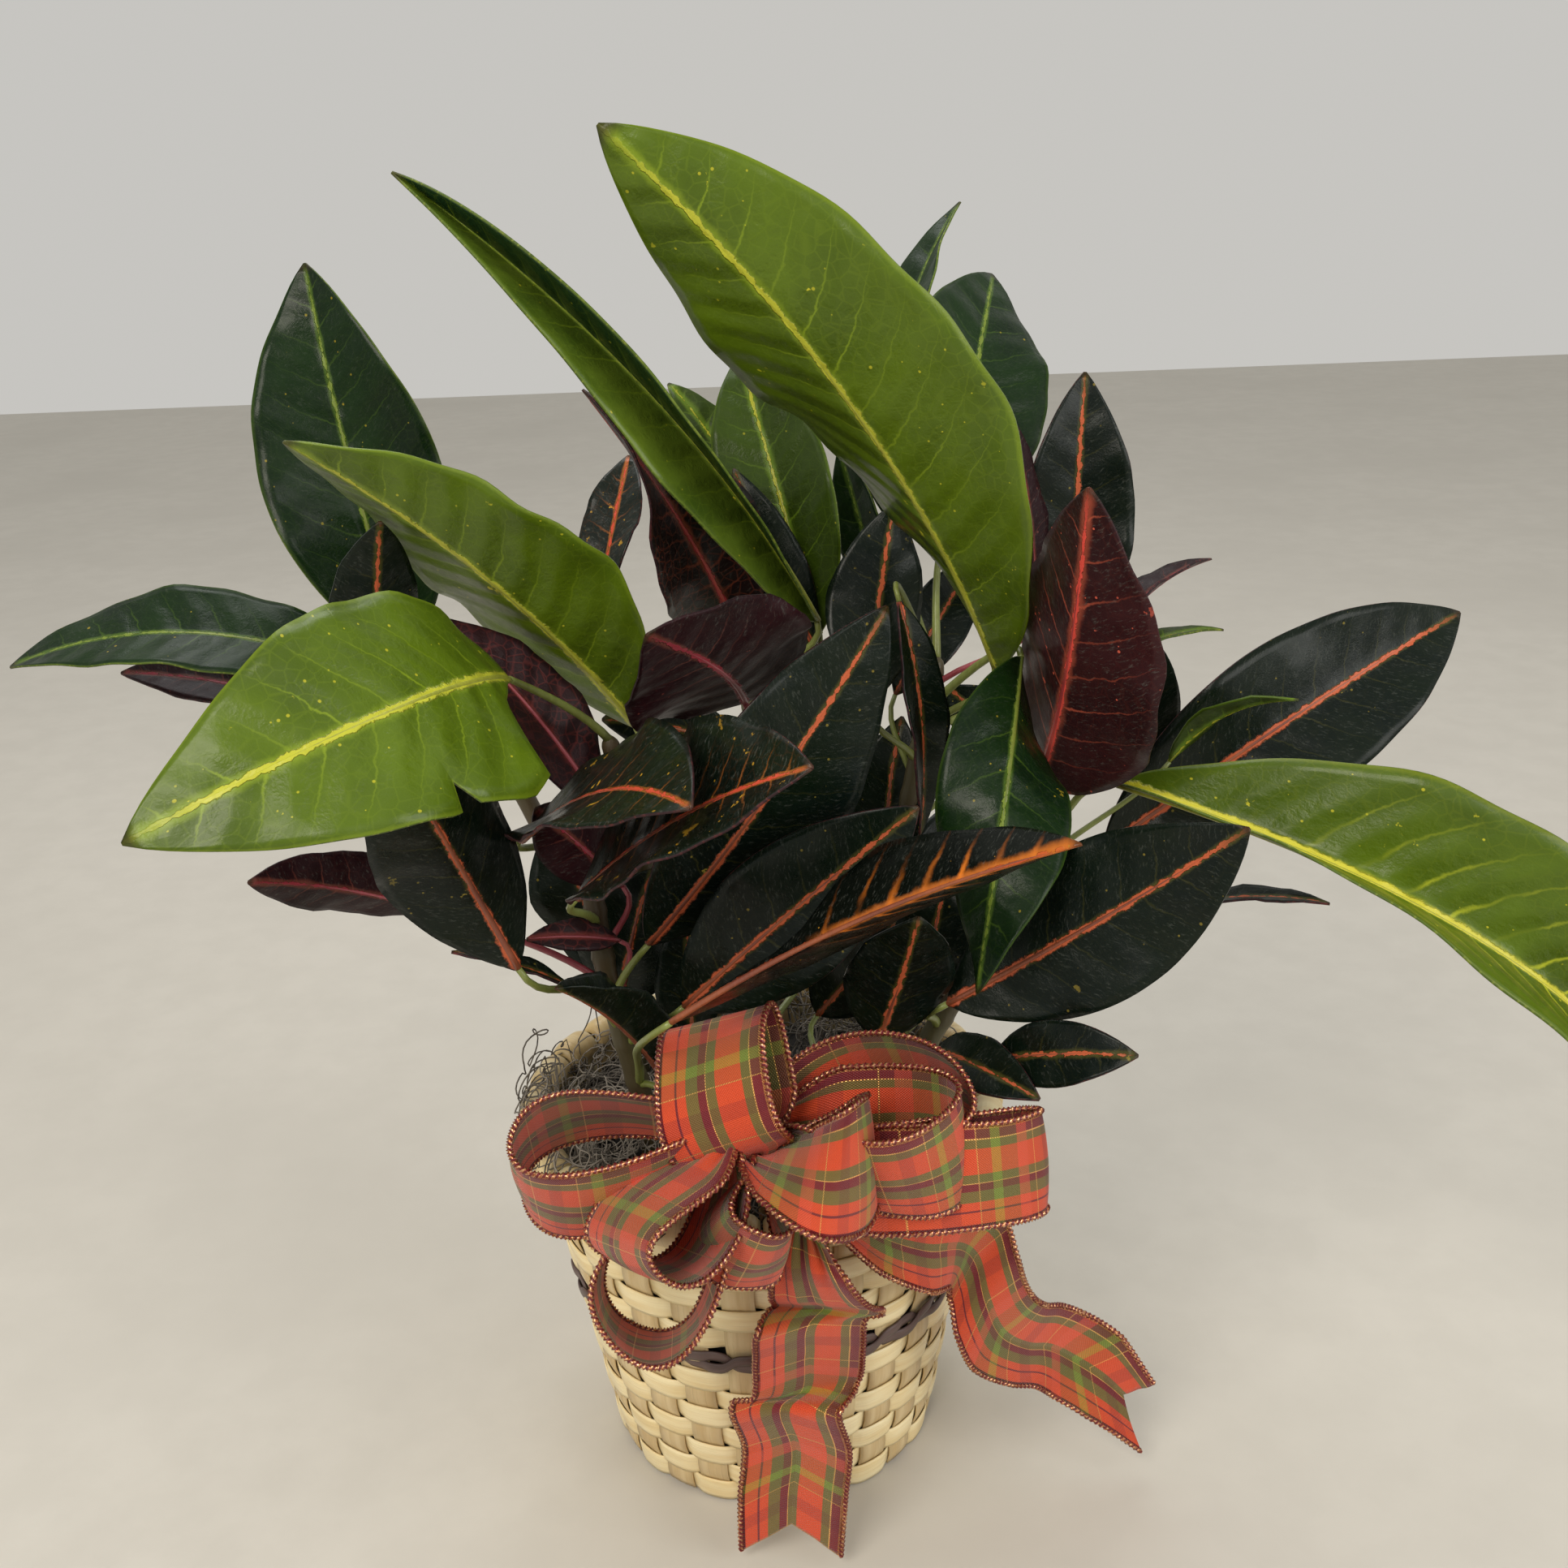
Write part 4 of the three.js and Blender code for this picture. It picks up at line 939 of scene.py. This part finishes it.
MOSS_TOP, MOSS_RADIUS, BASKET_TOP = 131.0, 79.0, 141.0
STRANDS, BEADS, STEP, STRAND_RADIUS = 430, 48, 1.4, 0.3
OVER_RIM, BED_EDGE, WALL_EDGE = 90.0, 77, 84  # the first: how far out strands hang at the left


def bed_height(x, y):
    lumps = (
        2.2 * np.sin(x / 9 + 1.3) * np.cos(y / 8.0)
        + 1.6 * np.sin(x / 5.1 + y / 6.3)
        + 0.9 * np.sin(y / 3.1 - x / 3.7)
    )
    return MOSS_TOP - 1.5 - 7 * (np.hypot(x, y) / 78) ** 4 + lumps


def moss_bed():
    """The matted moss under the strands, near black for painted shade, its edge turned down inside
    the rim.
    """

    def place(u, t):
        angle, r = math.pi * (u + 1), MOSS_RADIUS * np.clip(t * 1.04, 0, 1)
        x, y = r * np.cos(angle), r * np.sin(angle)
        z = bed_height(x, y) - np.where(t > 0.97, 9.0, 0.0)
        where = np.stack([x, y, np.where(t < 1e-6, MOSS_TOP, z)], 1)
        return where, np.stack([x, y], 1), np.zeros((len(u), 3))

    return wear(shaped_grid("moss_mat", 72, 30, place, close=True), MOSS_SHADE)


def strand_points(over_left):
    """A curly strand that wanders over the bed and springs up here and there."""
    if over_left:
        angle, r = dice.normal(3.45, 0.28), dice.uniform(58, 83)
    else:
        angle, r = dice.uniform(0, TURN), 78 * math.sqrt(dice.uniform(0.02, 1))
    heading, bend = dice.uniform(0, TURN), dice.normal(0, 0.09)
    x, y = r * math.cos(angle), r * math.sin(angle)
    lift, curl = dice.uniform(1, 17) + (y > 15) * dice.uniform(0, 20), dice.uniform(0.8, 3.4)
    phase, pitch = dice.uniform(0, 6), dice.uniform(11, 26)
    most = OVER_RIM if over_left else MOSS_RADIUS
    for i in range(BEADS):
        heading += bend / 2 + 0.16 * math.sin(i / 4.6 + phase)
        x += STEP * 0.8 * math.cos(heading)
        y += STEP * 0.8 * math.sin(heading)
        far = math.hypot(x, y)
        if far > most:
            x, y, heading = x * most / far, y * most / far, heading + 0.8
        base = float(bed_height(np.array(x), np.array(y)))
        if far > BED_EDGE:
            hung = BASKET_TOP - 0.55 * max(0, far - WALL_EDGE) ** 1.5
            base = max(base, hung) if over_left else base + 1
        ring = TURN * i * STEP / pitch + phase
        up = lift * math.sin(math.pi * i / (BEADS - 1)) + curl * 0.6 * math.sin(ring + 0.7)
        yield x + curl * math.cos(ring), y + curl * math.sin(ring) * 0.8, base + up + 0.6


def moss_strands():
    """All strands as one piece; every sixth hangs over the rim at the left."""
    curve = bpy.data.curves.new("moss_strands", "CURVE")
    curve.dimensions, curve.resolution_u = "3D", 1
    curve.bevel_depth, curve.bevel_resolution = STRAND_RADIUS * MM, 0
    for k in range(STRANDS):
        spline = curve.splines.new("POLY")
        spline.points.add(BEADS - 1)
        for point, at in zip(spline.points, strand_points(over_left=k % 6 == 0)):
            point.co = (*(v * MM for v in at), 1)
    made = bpy.data.objects.new("moss_strands", curve)
    bpy.context.collection.objects.link(made)
    pick_out([made])
    bpy.ops.object.convert(target="MESH")
    made = bpy.context.object
    made.name = made.data.name = "moss_strands"
    bpy.ops.object.shade_smooth()
    return wear(made, MOSS)


finished(moss_bed(), "moss", "moss_bed")
finished(moss_strands(), "moss")


# ---- ribbon

RIBBON_THICK, WIRE_PITCH, WIRE_AT, FORK = 0.42, 0.95, 0.985, 14
PINCHED, OPEN_BY = 0.22, 0.42  # share of the width at the pinch; share of the loop that it takes
# pinch, heading, rise, roll, length, opening, twist, lean
LOOPS = [
    ([8, -95, 179], 185, -1, 31, 84, 32, 9, 2),
    ([1.1, -102.2, 174.5], -149.1, 240.1, 139.0, -36.7, 33.6, 6.7, 22.3),
    ([-5.3, -102.8, 189], 231.5, -40.5, 64.5, 52.7, 28.5, 10.9, -10),
    ([-1, -95, 175], 264, -27, 18, 39, 25, 14, 2),
    ([-9, -101.2, 178.6], -13.3, 5.9, 19.5, 47.9, 49, 95.3, -10.9),
    ([-1, -87, 179], -31, 1, -12, 68, 30, -21, 11),
    ([0, -102, 168], -7, 4, -6, 90, 11, 14, 6),
    ([-1, -97, 168], 24, 23, -26, 69, 32, -40, -21),
    ([-2, -92.5, 180.5], 210, -46, 54, 76, 37, -5, 5),
]
# x, y, z, turn, slant, width
TAILS = {
    "front": [
        [14, -104, 150, -20, -30, 14], [15, -110, 139, -25, 0, 26], [18, -106, 124, -20, 5, 34],
        [20.6, -97, 113.5, -15, 5, 38], [15.6, -101, 111, 15, -5, 38],
        [14.2, -96, 94.6, 15, -5, 38], [12.3, -91, 75.5, 15, -5, 38], [5.5, -98, 75, -15, 5, 38],
        [8.5, -93, 52.3, -12, 5, 38], [6.5, -92, 31, -10, 5, 38], [5, -92, 5, -8, 0, 36],
    ],
    "side": [
        [27, -99, 152, 0, 75, 16], [40, -93, 139, 0, 85, 30], [55, -84, 127, 0, 90, 36],
        [68, -72, 118, -20, 75, 38], [74, -66, 107, 0, 58, 38], [77, -68, 93, 0, 55, 38],
        [83, -64, 75, 0, 57, 38], [93, -58, 64, 0, 72, 38], [102, -52, 58, 0, 76, 38],
        [112, -48, 49, 0, 68, 38], [123, -51, 42, 0, 72, 38], [139, -54, 25, 0, 84, 32],
    ],
}


def ribbon_sheet(name, surface, along, length_mm):
    """A ribbon whose surface(u, t) gives its points, with a twisted wire in each edge."""
    start = dice.uniform(0, PLAID_REPEAT)

    def place(u, t):
        mm = np.stack([(u + 1) / 2 * RIBBON_WIDTH, t * length_mm + start], 1)
        return surface(u, t), mm, np.zeros((len(u), 3))

    piece = thicken(wear(shaped_grid(name, 14, along, place), PLAID), RIBBON_THICK)
    t = np.linspace(0, 1, round(length_mm / WIRE_PITCH))
    twist = 0.92 + 0.3 * np.cos(np.arange(len(t)) * math.pi)
    edges = [surface(np.full_like(t, s * WIRE_AT), t) for s in (-1, 1)]
    wires = [wear(rod("wire", edge, twist, sides=5), COPPER) for edge in edges]
    return piece, joined(name + "_wires", wires)


def loop_surface(pinch, heading, rise, roll, length, opening, twist, lean):
    """A loop of ribbon from the pinch out and back to it, gathered at the pinch."""
    chord, level, up = chord_frame(heading, rise)
    r = math.radians(roll)
    width = math.cos(r) * up + math.sin(r) * level
    spread = np.cross(width, chord)

    def path(s):
        out = np.clip(np.sin(np.pi * s), 0, 1) ** 0.85
        aside = opening * 0.5 * np.sin(TURN * s) + lean * out**2
        return np.array(pinch, float) + chord * length * out + spread * aside, out

    def surface(u, t):
        s, v = np.asarray(t, float)[:, None], np.asarray(u, float)[:, None]
        line, out = path(s)
        ahead, behind = path(np.minimum(s + 1e-3, 1))[0], path(np.maximum(s - 1e-3, 0))[0]
        x = np.minimum(out / OPEN_BY, 1)
        half = RIBBON_WIDTH / 2 * (PINCHED + (1 - PINCHED) * x * x * (3 - 2 * x))
        turn = math.radians(twist) * (2 * s - 1)
        edge = np.cos(turn) * width + np.sin(turn) * spread
        normal = unit(np.cross(unit(ahead - behind), edge))
        pleat = (1 - x) ** 1.2 * 2.6 * np.sin(3.4 * np.pi * v + length)
        pleat = pleat + 0.45 * x * np.sin(7 * s * np.pi + 2 * v)
        return line + v * half * edge + (pleat + 0.7 * x * v**2) * normal

    s = np.linspace(0, 1, 300)[:, None]
    run = np.linalg.norm(np.diff(path(s)[0], axis=0), axis=1).sum()
    return surface, run


for k, row in enumerate(LOOPS, 1):
    surface, run = loop_surface(*row)
    loop, wires = ribbon_sheet(f"ribbon_loop_{k}", surface, 76, run)
    finished(loop, "ribbon", *(["ribbon_bow"] if k == 1 else []))
    finished(wires, "ribbon")


def tail_surface(stations):
    """A hanging ribbon through its stations, forked at its end."""
    rows = np.array(stations, float)
    fine = np.linspace(0, 1, 400)
    line = smooth_route(rows[:, :3], fine)
    run = np.concatenate([[0], np.cumsum(np.linalg.norm(np.diff(line, axis=0), axis=1))])
    total = run[-1]

    def surface(u, t):
        u, t = np.asarray(u, float), np.asarray(t, float)
        s = t * (total - FORK * (1 - np.abs(u)))
        at = np.interp(s, run, fine)
        station, each = at * (len(rows) - 1), np.arange(len(rows))
        turn, slant, wide = (np.interp(station, each, rows[:, c]) for c in (3, 4, 5))
        turn, slant = np.radians(turn), np.radians(slant)
        level = np.cos(slant)
        edge = np.stack([np.cos(turn) * level, np.sin(turn) * level, np.sin(slant)], 1)
        spot, ahead, behind = (smooth_route(rows[:, :3], at + d) for d in (0, 2e-3, -2e-3))
        normal = unit(np.cross(unit(ahead - behind), edge))
        pleat = (1 - wide / RIBBON_WIDTH) * 3.0 * np.sin(3.4 * np.pi * u)
        puff = 0.5 * np.sin(s / 9) * u + pleat
        return spot + (u * wide / 2)[:, None] * edge + puff[:, None] * normal

    return surface, total


for name, stations in TAILS.items():
    surface, run = tail_surface(stations)
    tail, wires = ribbon_sheet(f"ribbon_tail_{name}_dressed", surface, 110, run)
    finished(tail, "ribbon", "ribbon_tail_" + name)
    finished(wires, "ribbon")


TIE_AT, TIE_HALF, TIE_TURNS, TIE_RADIUS = (1, -97, 176), (4.5, 6.5, 8.5), 4, 0.7


def tie_wire():
    """The soft wire that pinches the loops and twists them on to the pick."""
    turn = np.linspace(0, TURN * TIE_TURNS, 120)
    coil = np.stack([turn / turn[-1] * 2 - 1, np.cos(turn), np.sin(turn)], 1)
    line = np.array(TIE_AT) + coil * TIE_HALF
    return wear(rod("bow_tie_wire", line, np.full(len(turn), TIE_RADIUS), sides=6), COPPER)


finished(tie_wire(), "ribbon")


# ---- what the pot and soil are made of

SOIL = speckled("peat potting mix", "#2b2019", "#3d2f24", "#6a5a48", 900, 0.95, 2.0)
POT = speckled("moulded black nursery pot", "#1d1e1d", "#232423", "#2a2b29", 400, 0.5, 0.05)
PICK = speckled("birch pick", "#cdb389", "#b8986a", "#a2855b", 500, 0.6, 0.2)
BASE = speckled("woven bamboo base", "#cdb98a", "#b89d6c", "#9b7f55", 240, 0.5, 0.4)

for node, stuff in (("soil", SOIL), ("grow_pot", POT), ("bow_pick", PICK), ("basket_base", BASE)):
    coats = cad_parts[node].data.materials
    for i in range(len(coats)):
        coats[i] = stuff


# ---- camera, light and floor

PITCH, ROLL = math.radians(20.9), math.radians(2.2)
CAMERA_AT, LENS, SENSOR = (13, -553, 473), 38.74, 36
LIT_POINT, SKY_STRENGTH = (0, 0, 0.25), 0.72
FLOOR_SIDE, FLOOR_DROP = 6, 0.0002
FORWARD = Vector((0, math.cos(PITCH), -math.sin(PITCH)))
DOWN = Vector((0, -math.sin(PITCH), -math.cos(PITCH)))
RIGHT = math.cos(ROLL) * Vector((1, 0, 0)) + math.sin(ROLL) * DOWN
BELOW = -math.sin(ROLL) * Vector((1, 0, 0)) + math.cos(ROLL) * DOWN
lens = bpy.data.cameras.new("camera")
lens.sensor_width, lens.lens, lens.clip_start = SENSOR, LENS, 0.01
camera = bpy.data.objects.new("camera", lens)
bpy.context.collection.objects.link(camera)
turned = Matrix((RIGHT, -BELOW, -FORWARD)).transposed().to_4x4()
camera.matrix_world = Matrix.Translation(Vector(CAMERA_AT) * MM) @ turned
bpy.context.scene.camera = camera

bpy.ops.object.select_all(action="DESELECT")
bpy.ops.mesh.primitive_plane_add(size=FLOOR_SIDE, location=(0, 0, -FLOOR_DROP))
floor = bpy.context.object
floor.name = "floor"
wear(floor, speckled("pale studio paper", "#c9c5bc", "#c5c1b8", "#c1bdb4", 30, 0.8, 0.01))


def softbox(name, at, size, power, tint):
    """A square lamp with a soft edge to its shadows, turned to the plant."""
    made = bpy.data.lights.new(name, "AREA")
    made.shape, made.size, made.energy, made.color = "SQUARE", size, power, linear(tint)
    lamp = bpy.data.objects.new(name, made)
    bpy.context.collection.objects.link(lamp)
    lamp.location = at
    lamp.rotation_euler = (Vector(LIT_POINT) - Vector(at)).to_track_quat("-Z", "Y").to_euler()


# name, place and side in metres, watts, colour
softbox("window light", (-0.6, -1.2, 1.35), 0.8, 17, "#fff6ea")
softbox("fill light", (1.2, -0.9, 0.9), 1.0, 12, "#f8f6f2")
softbox("top light", (-0.2, 0.6, 1.5), 0.8, 6, "#ffffff")
world = bpy.data.worlds.new("studio")
bpy.context.scene.world = world
world.use_nodes = True
sky = world.node_tree.nodes["Background"]
sky.inputs["Color"].default_value = linear("#e6e4df") + [1]
sky.inputs["Strength"].default_value = SKY_STRENGTH
bpy.context.scene.view_settings.view_transform = "Standard"
